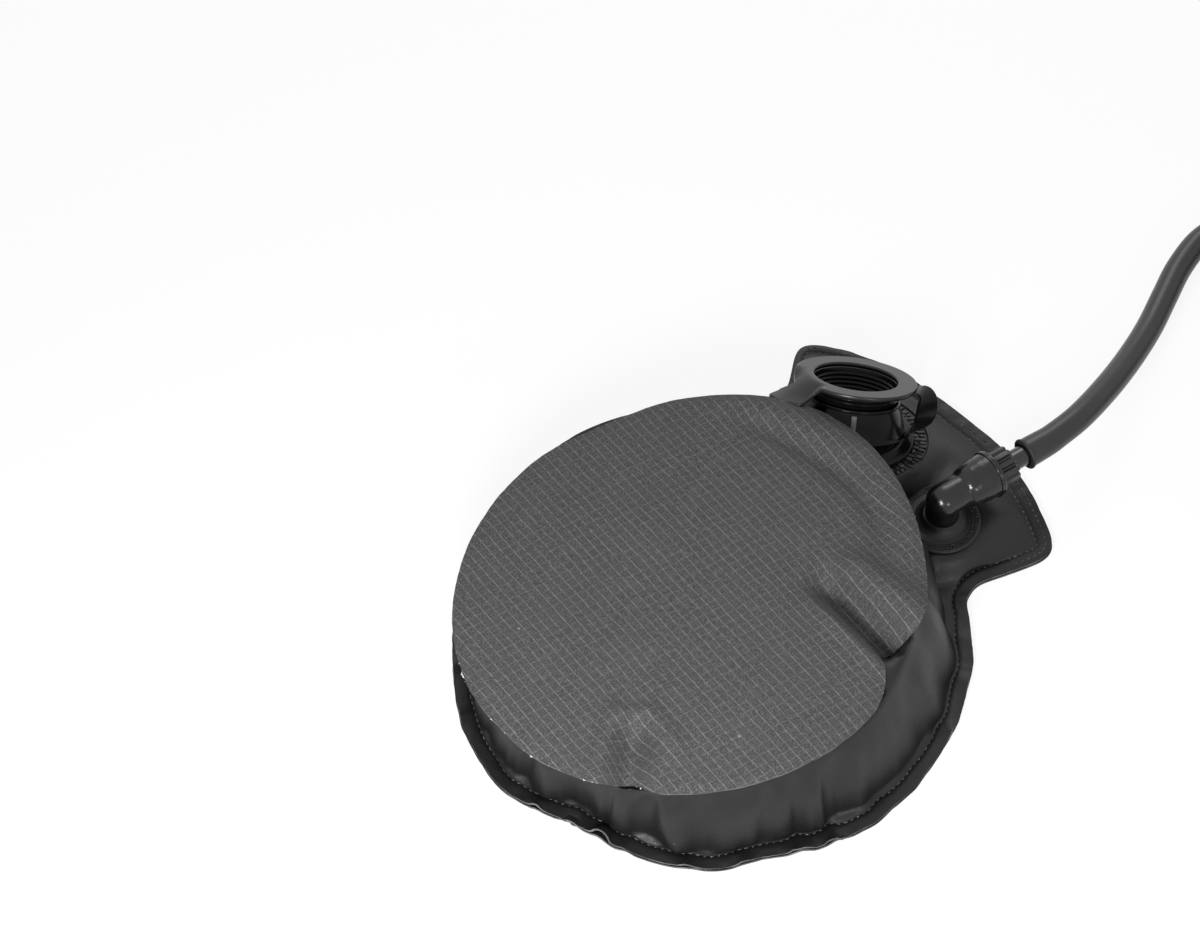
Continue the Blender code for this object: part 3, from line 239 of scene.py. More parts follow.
def smooth_path(points, per_span):
    """Points on a Catmull-Rom curve through the given ones."""
    ends = [points[0] * 2 - points[1]] + list(points) + [points[-1] * 2 - points[-2]]
    path = []
    for before, start, end, after in zip(ends, ends[1:], ends[2:], ends[3:]):
        for i in range(per_span):
            t = i / per_span
            path.append(0.5 * (2 * start + (end - before) * t
                               + (2 * before - 5 * start + 4 * end - after) * t ** 2
                               + (3 * start - before - 3 * end + after) * t ** 3))
    return path + [points[-1]]


def way_at(path, i):
    return (path[min(i + 1, len(path) - 1)] - path[max(i - 1, 0)]).normalized()


def evenly(points, count, closed=False):
    """Rows of a path resampled at even distances."""
    rows = np.array([list(point) for point in points])
    if closed:
        rows = np.vstack([rows, rows[:1]])
    lengths = np.concatenate([[0.0], np.cumsum(np.linalg.norm(np.diff(rows, axis=0), axis=1))])
    stops = np.linspace(0.0, lengths[-1], count, endpoint=not closed)
    return np.stack([np.interp(stops, lengths, column) for column in rows.T], 1)


# Frames

def tilted(angle, heading):
    return Vector((*polar(math.sin(angle), heading), math.cos(angle)))


def frame_at(origin, axis, toward):
    """Frame with Z on an axis and X as near to another direction as it can be."""
    z_axis = axis.normalized()
    x_axis = (toward - z_axis * toward.dot(z_axis)).normalized()
    rotation = Matrix((x_axis, z_axis.cross(x_axis), z_axis)).transposed()
    return Matrix.Translation(origin) @ rotation.to_4x4()


SIDEWAYS, UPWARD = Vector((1, 0, 0)), Vector((0, 0, 1))
INTAKE_AXIS = tilted(INTAKE_TILT, INTAKE_HEADING)
INTAKE_FRAME = frame_at(INTAKE_TOP, INTAKE_AXIS, SIDEWAYS)
WELD_AXIS = tilted(WELD_TILT, INTAKE_HEADING)
WELD_POINT = INTAKE_TOP - INTAKE_AXIS * WELD_DEPTH
WELD_FRAME = frame_at(WELD_POINT, WELD_AXIS, SIDEWAYS)
OUTLET_FRAME = Matrix.Translation((*OUTLET, 0))
ELBOW_WAY = Vector((*polar(1.0, ELBOW_HEADING), 0))
ELBOW_POINT = Vector((*OUTLET, ELBOW_HEIGHT))
ELBOW_FRAME = frame_at(ELBOW_POINT, ELBOW_WAY, UPWARD)
HOSE_EXIT = ELBOW_POINT + ELBOW_WAY * (NUT_START + NUT_LENGTH + BARE_TUBE)


# Mesh building

def add_object(name, data, material):
    made = bpy.data.objects.new(name, data)
    bpy.context.scene.collection.objects.link(made)
    if material is not None:
        data.materials.clear()
        data.materials.append(material)
    return made


def mesh_from(name, vertices, faces):
    mesh = bpy.data.meshes.new(name)
    mesh.from_pydata([tuple(v) for v in vertices], [], faces)
    mesh.update()
    return mesh


def smooth(mesh, degrees=40.0):
    mesh.shade_smooth()
    mesh.set_sharp_from_angle(angle=math.radians(degrees))
    return mesh


def solid(mesh, degrees=40.0):
    """Mesh with all its faces turned outward, shaded smooth."""
    shape = bmesh.new()
    shape.from_mesh(mesh)
    bmesh.ops.remove_doubles(shape, verts=shape.verts, dist=0.000002)
    bmesh.ops.recalc_face_normals(shape, faces=shape.faces)
    shape.to_mesh(mesh)
    shape.free()
    return smooth(mesh, degrees)


def final_mesh(made):
    bpy.context.view_layer.update()
    return bpy.data.meshes.new_from_object(made.evaluated_get(bpy.context.evaluated_depsgraph_get()))


def bake(made):
    """Apply an object's modifiers to its mesh."""
    mesh = final_mesh(made)
    mesh.name = made.name
    made.modifiers.clear()
    made.data = mesh


def grid_faces(rows, columns):
    """Quads between rows of points, each row running round."""
    return [(i * columns + j, i * columns + (j + 1) % columns, (i + 1) * columns + (j + 1) % columns,
             (i + 1) * columns + j) for i in range(rows - 1) for j in range(columns)]


def closed_mesh(name, rows, top, bottom=None):
    """Surface over rows of points that run round, closed at a top point, and at a bottom point if given."""
    count = len(rows[0])
    last = (len(rows) - 1) * count
    faces = grid_faces(len(rows), count) + [(last + j, last + (j + 1) % count, last + count) for j in range(count)]
    if bottom:
        faces += [((j + 1) % count, j, last + count + 1) for j in range(count)]
    return mesh_from(name, [*np.concatenate(rows), top, *([bottom] if bottom else [])], faces)


def ring_mesh(name, rows, degrees):
    """Solid whose rows of points run round, the last one joined to the first."""
    count = len(rows[0])
    last = (len(rows) - 1) * count
    faces = grid_faces(len(rows), count)
    faces += [(last + j, last + (j + 1) % count, (j + 1) % count, j) for j in range(count)]
    return solid(mesh_from(name, [point for row in rows for point in row], faces), degrees)


def swept(name, rings, material):
    """Moulding through rings of points, closed at both ends."""
    count = len(rings[0])
    last = (len(rings) - 1) * count
    faces = grid_faces(len(rings), count) + [tuple(range(count)), tuple(range(last, last + count))]
    return add_object(name, solid(mesh_from(name, [point for ring in rings for point in ring], faces), 50),
                      material)


def rounded(profile, radius, steps=3):
    """Closed profile with its corners rounded, apart from those on the axis."""
    points = [np.array(point, float) for point in profile]
    smoothed = []
    for i, point in enumerate(points):
        if point[0] <= 1e-7:
            smoothed.append(point)
            continue
        back, ahead = points[i - 1] - point, points[(i + 1) % len(points)] - point
        near = min(radius, 0.45 * np.linalg.norm(back), 0.45 * np.linalg.norm(ahead))
        start = point + back / np.linalg.norm(back) * near
        end = point + ahead / np.linalg.norm(ahead) * near
        for t in np.linspace(0, 1, steps + 1):
            smoothed.append((1 - t) ** 2 * start + 2 * t * (1 - t) * point + t * t * end)
    return smoothed


def downward(points):
    return [(radius, -depth) for radius, depth in points]


def turned_mesh(name, profile, around, facets=64, degrees=40.0, settle=None):
    """Solid of revolution in a frame from a closed profile in millimetres. Each point may be settled first."""
    rows = []
    for radius, height in profile:
        row = [Vector((*polar(radius * MM, math.tau * i / facets), height * MM)) for i in range(facets)]
        rows.append([around @ (settle(point) if settle else point) for point in row])
    if profile[0][0] > 1e-7:
        return ring_mesh(name, rows, degrees)
    return solid(mesh_from(name, [point for row in rows for point in row], grid_faces(len(rows), facets)), degrees)


def turned(name, profile, around, material, facets=96, corner=0.25):
    return add_object(name, turned_mesh(name, rounded(profile, corner), around, facets), material)


def extruded(name, loops, depth, bevel, around, material):
    """Flat moulding between closed outlines with rounded rims, centred on its frame."""
    curve = bpy.data.curves.new(name, "CURVE")
    curve.dimensions, curve.fill_mode = "2D", "BOTH"
    curve.extrude, curve.bevel_depth, curve.offset = depth / 2 - bevel, bevel, -bevel
    curve.bevel_resolution = 2
    for loop in loops:
        spline = curve.splines.new("POLY")
        spline.points.add(len(loop) - 1)
        for point, spot in zip(spline.points, loop):
            point.co = (*spot, 0, 1)
        spline.use_cyclic_u = True
    temporary = add_object(name, curve, None)
    mesh = final_mesh(temporary)
    bpy.data.objects.remove(temporary, do_unlink=True)
    mesh.transform(around)
    return add_object(name, solid(mesh, 35), material)


def skinned(made, thickness, rim=None):
    """Give a surface its thickness, and its cut edge a material of its own."""
    skin = made.modifiers.new("skin", "SOLIDIFY")
    skin.thickness, skin.offset = thickness, -1.0
    if rim:
        made.data.materials.append(rim)
        skin.material_offset_rim = 1
    bake(made)
    if rim:
        smooth(made.data, 60)
    return made


def cut(target, profile, around, facets):
    """Bore a turned hole into a piece."""
    cutter = add_object("cutter", turned_mesh("cutter", profile, around, facets), None)
    boolean = target.modifiers.new("cut", "BOOLEAN")
    boolean.operation, boolean.object, boolean.solver = "DIFFERENCE", cutter, "EXACT"
    bake(target)
    bpy.data.objects.remove(cutter, do_unlink=True)


def finish_piece(made, body, *nodes):
    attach(made, body)
    if nodes:
        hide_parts(*nodes)
    return made


def press_with_film(made):
    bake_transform(made)
    return made


def press_with_disc(made):
    """Bake the transform of a piece of the disc into its mesh."""
    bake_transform(made)
    return made


# Node building

def feed(tree, node, inputs):
    """Set a node's inputs, by name or number, from sockets or values."""
    for key, value in inputs.items():
        if isinstance(value, bpy.types.NodeSocket):
            tree.links.new(value, node.inputs[key])
        else:
            node.inputs[key].default_value = value
    return node


def add_node(tree, kind, inputs, **settings):
    made = tree.nodes.new(kind)
    for name, value in settings.items():
        setattr(made, name, value)
    return feed(tree, made, inputs)


def maths(tree, operation, *values, kind="ShaderNodeMath", **settings):
    return add_node(tree, kind, dict(enumerate(values)), operation=operation, **settings).outputs[0]


def vector_maths(tree, operation, *values):
    return maths(tree, operation, *values, kind="ShaderNodeVectorMath")


def ranged(tree, value, low, high, to_low, to_high, **settings):
    return add_node(tree, "ShaderNodeMapRange", {
        "Value": value, "From Min": low, "From Max": high, "To Min": to_low, "To Max": to_high},
        **settings).outputs["Result"]


def cloud(tree, vector, scale, detail):
    return add_node(tree, "ShaderNodeTexNoise", {"Vector": vector, "Scale": scale, "Detail": detail})


def mixed_colour(tree, share, first, second, blend_type="MIX"):
    return add_node(tree, "ShaderNodeMix", {0: share, 6: first, 7: second}, data_type="RGBA",
                    blend_type=blend_type).outputs[2]


def object_place(tree):
    return tree.nodes.new("ShaderNodeTexCoord").outputs["Object"]


def group_tree(name, kind, inputs, outputs):
    """Node group with sockets of the given names and types, and its two end nodes."""
    tree = bpy.data.node_groups.new(name, kind)
    for sockets, in_out in ((inputs, "INPUT"), (outputs, "OUTPUT")):
        for label, socket_type in sockets.items():
            tree.interface.new_socket(name=label, in_out=in_out, socket_type="NodeSocket" + socket_type)
    return tree, tree.nodes.new("NodeGroupInput").outputs, tree.nodes.new("NodeGroupOutput")


def group_node(tree, make_group, inputs):
    """Node of a shader group, which is made on its first use and named after its maker."""
    group = bpy.data.node_groups.get(make_group.__name__) or make_group()
    return add_node(tree, "ShaderNodeGroup", inputs, node_tree=group).outputs


def surface_grain():
    """Bump of two grains and a slow unevenness, in object coordinates."""
    tree, given, end = group_tree(
        "surface_grain", "ShaderNodeTree",
        {"Grain Size": "Float", "Grain": "Float", "Unevenness Size": "Float", "Unevenness": "Float"},
        {"Normal": "Vector", "Grain Value": "Float", "Slow Value": "Float"})
    place = object_place(tree)
    bump = {"Distance": 0.0004}
    for strength, detail, output in (("Unevenness", 3.0, "Slow Value"), ("Grain", 2.0, "Grain Value")):
        scale = maths(tree, "DIVIDE", 1.0, given[strength + " Size"])
        value = cloud(tree, place, scale, detail).outputs["Fac"]
        feed(tree, end, {output: value})
        bump.update({"Height": value, "Strength": given[strength]})
        bump["Normal"] = add_node(tree, "ShaderNodeBump", bump).outputs["Normal"]
    feed(tree, end, {"Normal": bump["Normal"]})
    return tree


def thread_lines():
    """Mask of evenly spaced threads that run along Y of the given vector."""
    tree, given, end = group_tree("thread_lines", "ShaderNodeTree",
                                  {"Vector": "Vector", "Spacing": "Float", "Width": "Float"}, {"Mask": "Float"})
    across = add_node(tree, "ShaderNodeSeparateXYZ", {0: given["Vector"]}).outputs["X"]
    wave = maths(tree, "PINGPONG", across, maths(tree, "MULTIPLY", given["Spacing"], 0.5))
    feed(tree, end, {"Mask": ranged(tree, wave, 0.0, given["Width"], 1.0, 0.0, interpolation_type="SMOOTHSTEP")})
    return tree


def new_material(name, colour, roughness, grain=(0.0006, 0.1), uneven=(0.006, 0.1), sheen=0.0, coat=0.0,
                 variation=0.25, rough_variation=0.08, specular=0.5):
    """Principled material with grain, slow unevenness and colour variation."""
    material = bpy.data.materials.new(name)
    material.use_nodes = True
    tree = material.node_tree
    surface = group_node(tree, surface_grain, {"Grain Size": grain[0], "Grain": grain[1],
                                               "Unevenness Size": uneven[0], "Unevenness": uneven[1]})
    shade = ranged(tree, surface["Slow Value"], 0.3, 0.7, 1.0 - variation, 1.0 + variation)
    rough = ranged(tree, surface["Grain Value"], 0.0, 1.0, roughness - rough_variation, roughness + rough_variation)
    feed(tree, tree.nodes["Principled BSDF"], {
        "Base Color": mixed_colour(tree, 1.0, (*colour, 1.0), shade, "MULTIPLY"), "Roughness": rough,
        "Normal": surface["Normal"], "Specular IOR Level": specular, "Sheen Weight": sheen,
        "Sheen Roughness": 0.6, "Coat Weight": coat, "Coat Roughness": 0.12})
    return material


def overlay_colour(material, mask, colour):
    """Lay a colour over a material's base colour where a mask is one."""
    tree = material.node_tree
    base = tree.nodes["Principled BSDF"].inputs["Base Color"]
    tree.links.new(mixed_colour(tree, mask, base.links[0].from_socket, (*colour, 1.0)), base)


def speckle(material, size, amount, level):
    """Sparse small grey dots of dust or lint."""
    tree = material.node_tree
    cells = add_node(tree, "ShaderNodeTexVoronoi", {"Vector": object_place(tree), "Scale": 1.0 / size}).outputs
    near = ranged(tree, cells["Distance"], 0.05, 0.12, 1.0, 0.0)
    pick = add_node(tree, "ShaderNodeSeparateColor", {0: cells["Color"]}).outputs[0]
    chosen = maths(tree, "GREATER_THAN", pick, 1.0 - amount)
    overlay_colour(material, maths(tree, "MULTIPLY", near, chosen), (level,) * 3)


def ripstop_material(settings):
    """Grey cloth with a light thread grid, stronger one way than the other."""
    material = new_material("ripstop_grey", settings.cloth_colour, 0.7, grain=(0.0006, 0.55),
                            uneven=(0.014, 0.05), sheen=0.08, variation=0.06, specular=0.3)
    tree = material.node_tree
    place = object_place(tree)
    wander = vector_maths(tree, "SUBTRACT", cloud(tree, place, 90.0, 1.0).outputs["Color"], (0.5,) * 3)
    moved = vector_maths(tree, "MULTIPLY_ADD", wander, (1.1 * MM,) * 3, place)
    threads = 0.0
    for turn, strength in ((math.pi / 2, 1.0), (math.radians(-8.0), 0.42)):
        rotated = add_node(tree, "ShaderNodeVectorRotate", {
            "Vector": moved, "Angle": -(turn + settings.grid_heading)}, rotation_type="Z_AXIS").outputs["Vector"]
        lines = group_node(tree, thread_lines, {"Vector": rotated, "Spacing": settings.grid_spacing,
                                                "Width": settings.thread_width})
        threads = maths(tree, "MULTIPLY_ADD", lines["Mask"], strength, threads, use_clamp=True)
    worn = ranged(tree, cloud(tree, place, 900.0, 1.0).outputs["Fac"], 0.35, 0.6, 0.3, 1.0)
    lint = ranged(tree, cloud(tree, place, 1700.0, 2.0).outputs["Fac"], 0.4, 0.75, 0.0, 0.42)
    overlay_colour(material, lint, settings.grid_colour)
    overlay_colour(material, maths(tree, "MULTIPLY", threads, worn), settings.grid_colour)
    speckle(material, 0.005, 0.03, 0.3)
    return material


def make_materials(settings):
    """All materials of the pump, by name."""
    def moulding(shade, name, roughness, **looks):
        return new_material(name, [shade * part for part in settings.moulding_colour], roughness, **looks)

    film = new_material("film_black", settings.film_colour, 0.44, grain=(0.0007, 0.2), uneven=(0.006, 0.22),
                        variation=0.2, specular=0.36)
    speckle(film, 0.0045, 0.05, 0.09)
    return {
        "film": film,
        "cut_edge": new_material("cut_edge", (0.11,) * 3, 0.7, grain=(0.0005, 0.6), variation=0.7),
        "ripstop": ripstop_material(settings),
        "fray": new_material("fray_white", (0.75, 0.74, 0.72), 0.8, grain=(0.0004, 0.6)),
        # The stitch thread is dark; its grey, lighter than the film, is a painted highlight so that the stitches show
        # as glints
        "thread": new_material("thread_grey", (0.06,) * 3, 0.3, grain=(0.0003, 0.5), sheen=0.3, variation=0.8),
        "foam": new_material("foam_open_cell", (0.45, 0.43, 0.38), 0.95, grain=(0.0016, 1.0), uneven=(0.02, 0.3)),
        "gloss": moulding(1.0, "moulding_gloss", 0.17, grain=(0.0012, 0.03), uneven=(0.006, 0.06), coat=0.2,
                          variation=0.15, rough_variation=0.05),
        "satin": moulding(1.5, "moulding_satin", 0.36, grain=(0.0009, 0.08), uneven=(0.005, 0.12), variation=0.2,
                          rough_variation=0.07),
        "ring": moulding(1.3, "moulding_ring", 0.3, grain=(0.0007, 0.04), uneven=(0.01, 0.03), variation=0.12,
                         rough_variation=0.05, specular=0.36),
        # Darker copy of the moulding with little reflection: painted shade, for the bowl, the strap and the threaded
        # neck, which show near black
        "bowl": moulding(0.7, "moulding_bowl", 0.2, grain=(0.0012, 0.04), uneven=(0.005, 0.1), variation=0.15,
                         rough_variation=0.05, specular=0.12),
        "elbow": moulding(1.0, "moulding_elbow", 0.22, grain=(0.0011, 0.08), uneven=(0.003, 0.5), variation=0.3,
                          rough_variation=0.1, specular=0.45),
        # Light grey of the bowl's raised rib: a painted highlight that stands in for the light line down the bowl
        "rib": new_material("moulding_rib", (0.12,) * 3, 0.35, grain=(0.0008, 0.1)),
        "weld": moulding(4.5, "weld_rim", 0.42, grain=(0.0012, 0.5), uneven=(0.003, 0.6), variation=0.5,
                         rough_variation=0.1),
        "hose": new_material("hose_black", settings.hose_colour, 0.36, grain=(0.0008, 0.05), uneven=(0.014, 0.1),
                             variation=0.12, rough_variation=0.05),
        "rubber": new_material("rubber_black", (0.015,) * 3, 0.6, grain=(0.0005, 0.3)),
        "webbing": new_material("webbing_black", (0.02,) * 3, 0.8, grain=(0.0008, 0.8), sheen=0.3),
    }


# Camera and light

def photo_camera():
    right = Vector((*polar(1.0, VIEW_AZIMUTH), 0))
    flat = math.cos(VIEW_ELEVATION)
    back = Vector((math.sin(VIEW_AZIMUTH) * flat, -math.cos(VIEW_AZIMUTH) * flat, math.sin(VIEW_ELEVATION)))
    up = back.cross(right)
    across = (ORIGIN_PIXEL[0] - PHOTO_SIZE[0] / 2) / VIEW_FOCAL
    above = -(ORIGIN_PIXEL[1] - PHOTO_SIZE[1] / 2) / VIEW_FOCAL
    data = bpy.data.cameras.new("photo_camera")
    data.sensor_width = SENSOR
    data.lens = VIEW_FOCAL / PHOTO_SIZE[0] * SENSOR
    data.clip_start = 0.01
    made = add_object("photo_camera", data, None)
    made.matrix_world = Matrix.Translation((back - right * across - up * above) * VIEW_DISTANCE) @ Matrix(
        (right, up, back)).transposed().to_4x4()
    bpy.context.scene.camera = made
    return right, back


def area_light(name, position, target, size, power):
    data = bpy.data.lights.new(name, "AREA")
    data.shape, data.size, data.energy = "DISK", size, power
    made = add_object(name, data, None)
    way = (Vector(target) - position).normalized()
    made.matrix_world = Matrix.Translation(position) @ way.to_track_quat("-Z", "Y").to_matrix().to_4x4()
    made.visible_camera = False


def backdrop_rays(tree):
    """Mask of the rays that see the plain white backdrop: camera, glossy and transmission."""
    rays = tree.nodes.new("ShaderNodeLightPath").outputs
    shiny = maths(tree, "ADD", rays["Is Glossy Ray"], rays["Is Transmission Ray"])
    return maths(tree, "ADD", shiny, rays["Is Camera Ray"], use_clamp=True)


def mixed_shader(tree, share, first, second, out):
    made = add_node(tree, "ShaderNodeMixShader", {0: share, 1: first.outputs[0], 2: second.outputs[0]})
    feed(tree, out, {"Surface": made.outputs[0]})


def world_light(strength):
    """White backdrop, and a soft sky that is dimmer toward the horizon for diffuse light."""
    world = bpy.data.worlds.new("studio")
    bpy.context.scene.world = world
    world.use_nodes = True
    tree = world.node_tree
    tree.nodes.clear()
    way = tree.nodes.new("ShaderNodeTexCoord").outputs["Generated"]
    height = add_node(tree, "ShaderNodeSeparateXYZ", {0: way}).outputs["Z"]
    level = ranged(tree, height, -0.2, 1.0, 0.3, 1.0)
    lit = add_node(tree, "ShaderNodeBackground", {"Color": level, "Strength": strength})
    white = add_node(tree, "ShaderNodeBackground", {"Color": (1, 1, 1, 1), "Strength": 1.0})
    mixed_shader(tree, backdrop_rays(tree), lit, white, tree.nodes.new("ShaderNodeOutputWorld"))


def white_floor():
    """Plain white floor that keeps a soft shadow of the pump."""
    half, low = FLOOR_HALF, FLOOR_LEVEL
    corners = [(-half, -half, low), (half, -half, low), (half, half, low), (-half, half, low)]
    material = bpy.data.materials.new("floor_white")
    material.use_nodes = True
    tree = material.node_tree
    matte = feed(tree, tree.nodes["Principled BSDF"], {
        "Base Color": (0.86, 0.86, 0.86, 1), "Roughness": 0.9, "Specular IOR Level": 0.0})
    glow = add_node(tree, "ShaderNodeEmission", {"Color": (1, 1, 1, 1), "Strength": 1.1})
    share = maths(tree, "MULTIPLY", backdrop_rays(tree), 0.8)
    mixed_shader(tree, share, matte, glow, tree.nodes["Material Output"])
    add_object("floor", mesh_from("floor", corners, [(0, 1, 2, 3)]), material)


def build_stage():
    bpy.context.scene.view_settings.view_transform = "Standard"
    right, back = photo_camera()
    world_light(SKY_STRENGTH)
    white_floor()
    flat = Vector((back.x, back.y, 0)).normalized()
    for name, (aside, toward, above), target, size, power in LIGHTS:
        area_light(name, right * aside + flat * toward + UPWARD * above, target, size, power)


# Outlines

CENTRE = np.array(DOME_CENTRE)


def softened(rows, reach):
    """Closed row of points smoothed over a few neighbours."""
    total, weights = np.zeros_like(rows), 0.0
    for step in range(-3 * reach, 3 * reach + 1):
        weight = math.exp(-0.5 * (step / reach) ** 2)
        total = total + np.roll(rows, step, axis=0) * weight
        weights += weight
    return total / weights


def around_table(angles, table):
    """Radius in metres at each angle, from a table of degrees and millimetres."""
    known = np.array(table + ((table[0][0] + 360, table[0][1]),), float)
    fine = np.arange(-180.0, 180.0, 0.5)
    dense = softened(np.interp(fine, known[:, 0], known[:, 1])[:, None], 4)[:, 0]
    return np.interp(wrapped(np.degrees(angles)), np.append(fine, 180.0), np.append(dense, dense[0])) * MM


def dense_outline(count):
    """Evenly spaced points round the sheets' edge, counter-clockwise from the left."""
    rows = [polar(radius * MM, math.radians(angle)) for angle, radius in PUMP_EDGE]
    rows += [Vector(point) * MM for point in TAIL_EDGE]
    rows += [polar(radius * MM, math.radians(angle)) for angle, radius in BACK_EDGE]
    return evenly(softened(evenly(rows, 1200, closed=True), 6), count, closed=True)


def pucker_field(degrees):
    """Gathered folds round the seam: 1 at the crest of a big one."""
    return sum(size * bell(degrees - place, width) for place, width, size in PUCKERS)


def edge_waves(angles):
    """Radial change and lift of the flange's edge: its dips, bulges and small waves."""
    degrees = np.degrees(angles)
    tucks = pucker_field(degrees)
    change = 0.22 * ring_noise(angles, 60, 4) + 0.12 * ring_noise(angles, 140, 5) - 0.35 * tucks
    lift = 1.3 * tucks + 0.35 * np.maximum(0, ring_noise(angles, 30, 5)) * (1 - smoothstep((degrees - 50) / 10))
    return change * MM, lift * MM


def inward_normals(rows):
    way = np.roll(rows, -1, axis=0) - np.roll(rows, 1, axis=0)
    way /= np.linalg.norm(way, axis=1)[:, None]
    return np.stack([-way[:, 1], way[:, 0]], 1)


def seam_line(count):
    """Angles, outer edge with its waves, lift, seam and inward direction round the flange."""
    edge = dense_outline(count)
    angles = headings(edge)
    degrees = np.degrees(angles)
    change, lift = edge_waves(angles)
    inward = inward_normals(edge)
    tucks = pucker_field(degrees)
    width = 4.9 + 0.5 * ring_noise(angles, 40, 6) + 0.9 * tucks + 0.9 * np.maximum(0, tucks - 0.8)
    width = width + 1.2 * smoothstep((degrees - 58) / 6) - 3.0 * between(degrees, 104, 8, 124, 8)
    return angles, edge - inward * change[:, None], lift, edge + inward * (width * MM)[:, None], inward


def edge_lift(lift, share):
    """Lift of the film's edge at a share of the way from the edge to the seam."""
    return FILM_EDGE_TOP + lift * (1 - share) ** 1.2 + 0.15 * MM * math.sin(math.pi * share)


# Relief of the disc and of the film under it

def crease(points, path, width, fade_in, fade_out):
    """Bell shaped crease along a path that fades in from its start, and out at its end if asked."""
    gap, along = path_distance(points, path)
    strength = smoothstep(along / fade_in)
    if fade_out:
        strength = strength * smoothstep((1 - along) / fade_out)
    return bell(gap, width) * strength


def disc_relief(points):
    """Height of the disc's surface over its flat level, in metres."""
    height = 0.0
    for size, width, fade_in, fade_out, path in FOLDS:
        spots = np.array([Vector(point) * MM for point in path])
        height = height + size * crease(points, spots, width * MM, fade_in, fade_out)
    height = height + 0.6 * flat_noise(points, 24 * MM, 11) + 0.16 * flat_noise(points, 9 * MM, 12)
    reach = np.linalg.norm(points - CENTRE, axis=1) / TREAD_RADIUS
    return (height + 1.6 * (1 - reach ** 2) - 0.9) * MM


def tread_edge(angles):
    """Radius of the disc's edge about the dome's centre. Where its folds lift or lower it, it leans in or out,
    as the cloth does when it is pulled over the fold."""
    radius = around_table(angles, DISC_EDGE)
    ways = ways_at(angles)
    level = TREAD_TOP + disc_relief(CENTRE + ways * radius[:, None])
    flat = (36.4 + 1.6 * between(wrapped(np.degrees(angles)), 48, 14, 146, 14)) * MM
    radius = radius - (level - flat) * LEAN_PER_HEIGHT * (ways @ LEAN)
    return radius + (0.18 * ring_noise(angles, 40, 8) + 0.1 * ring_noise(angles, 150, 9)) * MM


def under_disc(spot, level):
    """Level of the film, kept just under the disc's folds and free of them outside its edge."""
    offset = spot - CENTRE
    past = np.linalg.norm(offset, axis=1) - tread_edge(headings(offset))
    room = 1.4 * MM * smoothstep((3 * MM - past) / (3 * MM)) - 12 * MM * smoothstep(past / (9 * MM))
    return np.minimum(level, TREAD_TOP + disc_relief(spot) - room)


def tail_height(points):
    """Film over the tail: a low pillow with a level seat for the outlet and a tilted one for the intake."""
    inside = smoothstep((126.0 * MM - np.linalg.norm(points, axis=1)) / (20 * MM))
    for start, end in (((49.0, 78.0), (58.5, 105.0)), ((-57.0, 105.0), (-46.5, 80.0))):
        start, way = np.array(start) * MM, np.array(end) * MM - np.array(start) * MM
        way /= np.linalg.norm(way)
        away = (points - start) @ np.array((-way[1], way[0]))
        inside = inside * smoothstep(away / (16 * MM))
    height = FILM_EDGE_TOP + 7.2 * MM * inside
    height = height + (flat_noise(points, 17 * MM, 21) + 0.3 * flat_noise(points, 7 * MM, 22)) * MM * inside
    away = np.linalg.norm(points - np.array(OUTLET), axis=1)
    seat = 1 - smoothstep((away - OUTLET_FLANGE - 0.5 * MM) / (9 * MM))
    height = mix(height, OUTLET_LEVEL - GAP, seat)
    foot = WELD_POINT - WELD_AXIS * (WELD_THICKNESS + GAP)
    gap = points - np.array(foot.xy)
    plane = foot.z - (WELD_AXIS.x * gap[:, 0] + WELD_AXIS.y * gap[:, 1]) / WELD_AXIS.z
    seat = 1 - smoothstep((np.linalg.norm(gap, axis=1) - WELD_RADIUS - 4.0 * MM) / (8 * MM))
    return mix(height, plane, seat)


def foot_height(spot, reach, span):
    """Height of the film between the seam and the wall's foot."""
    rise = FILM_EDGE_TOP + 1.0 * MM * smoothstep(reach / (2.5 * MM))
    return mix(rise, tail_height(spot), smoothstep((span - 15 * MM) / (10 * MM)))


# Fabric

# Points round each piece, and rows of the film and the disc
FILM_COUNT, BASE_COUNT, DISC_COUNT, FOAM_COUNT, STITCH_COUNT = 560, 480, 440, 96, 620
GUTTER_ROWS, WALL_ROWS, DISC_ROWS = 14, 24, 84
FLANGE_SHARES = (0.0, 0.2, 0.45, 0.7, 0.88, 0.96, 1.0)
BASE_STEPS = (0.0, 1.0, 2.5, 4.0, 6.0, 9.0, 13.0)
DOME_SHARES = (0.965, 0.93, 0.89, 0.85, 0.81, 0.77, 0.72, 0.67, 0.62, 0.57, 0.51, 0.45, 0.38, 0.3, 0.2, 0.1)
FILM_SKIN, DISC_SKIN, FRAY_SKIN = 0.7 * MM, 0.8 * MM, 0.12 * MM
INTAKE_HOLE, OUTLET_HOLE = 15.5 * MM, 6.0 * MM
# Larger frays of the disc's edge: degrees and size
FRAYS = ((-138.0, 0.2), (-125.5, 0.35), (-110.5, 0.8), (-97.5, 0.35), (-84.3, 0.5), (-70.5, 0.4), (-58, 0.3),
         (78, 0.4), (66, 0.4))
SMALL_FRAYS = 22
STITCH_THICKNESS = 0.4 * MM
STITCH_SHARE = 0.58


def slack_side(angles):
    """1 on the far left of the dome, where the film slopes, and 0 where it stands full."""
    return 1 - smoothstep((np.abs(wrapped(np.degrees(angles) - 165)) - 52) / 38)


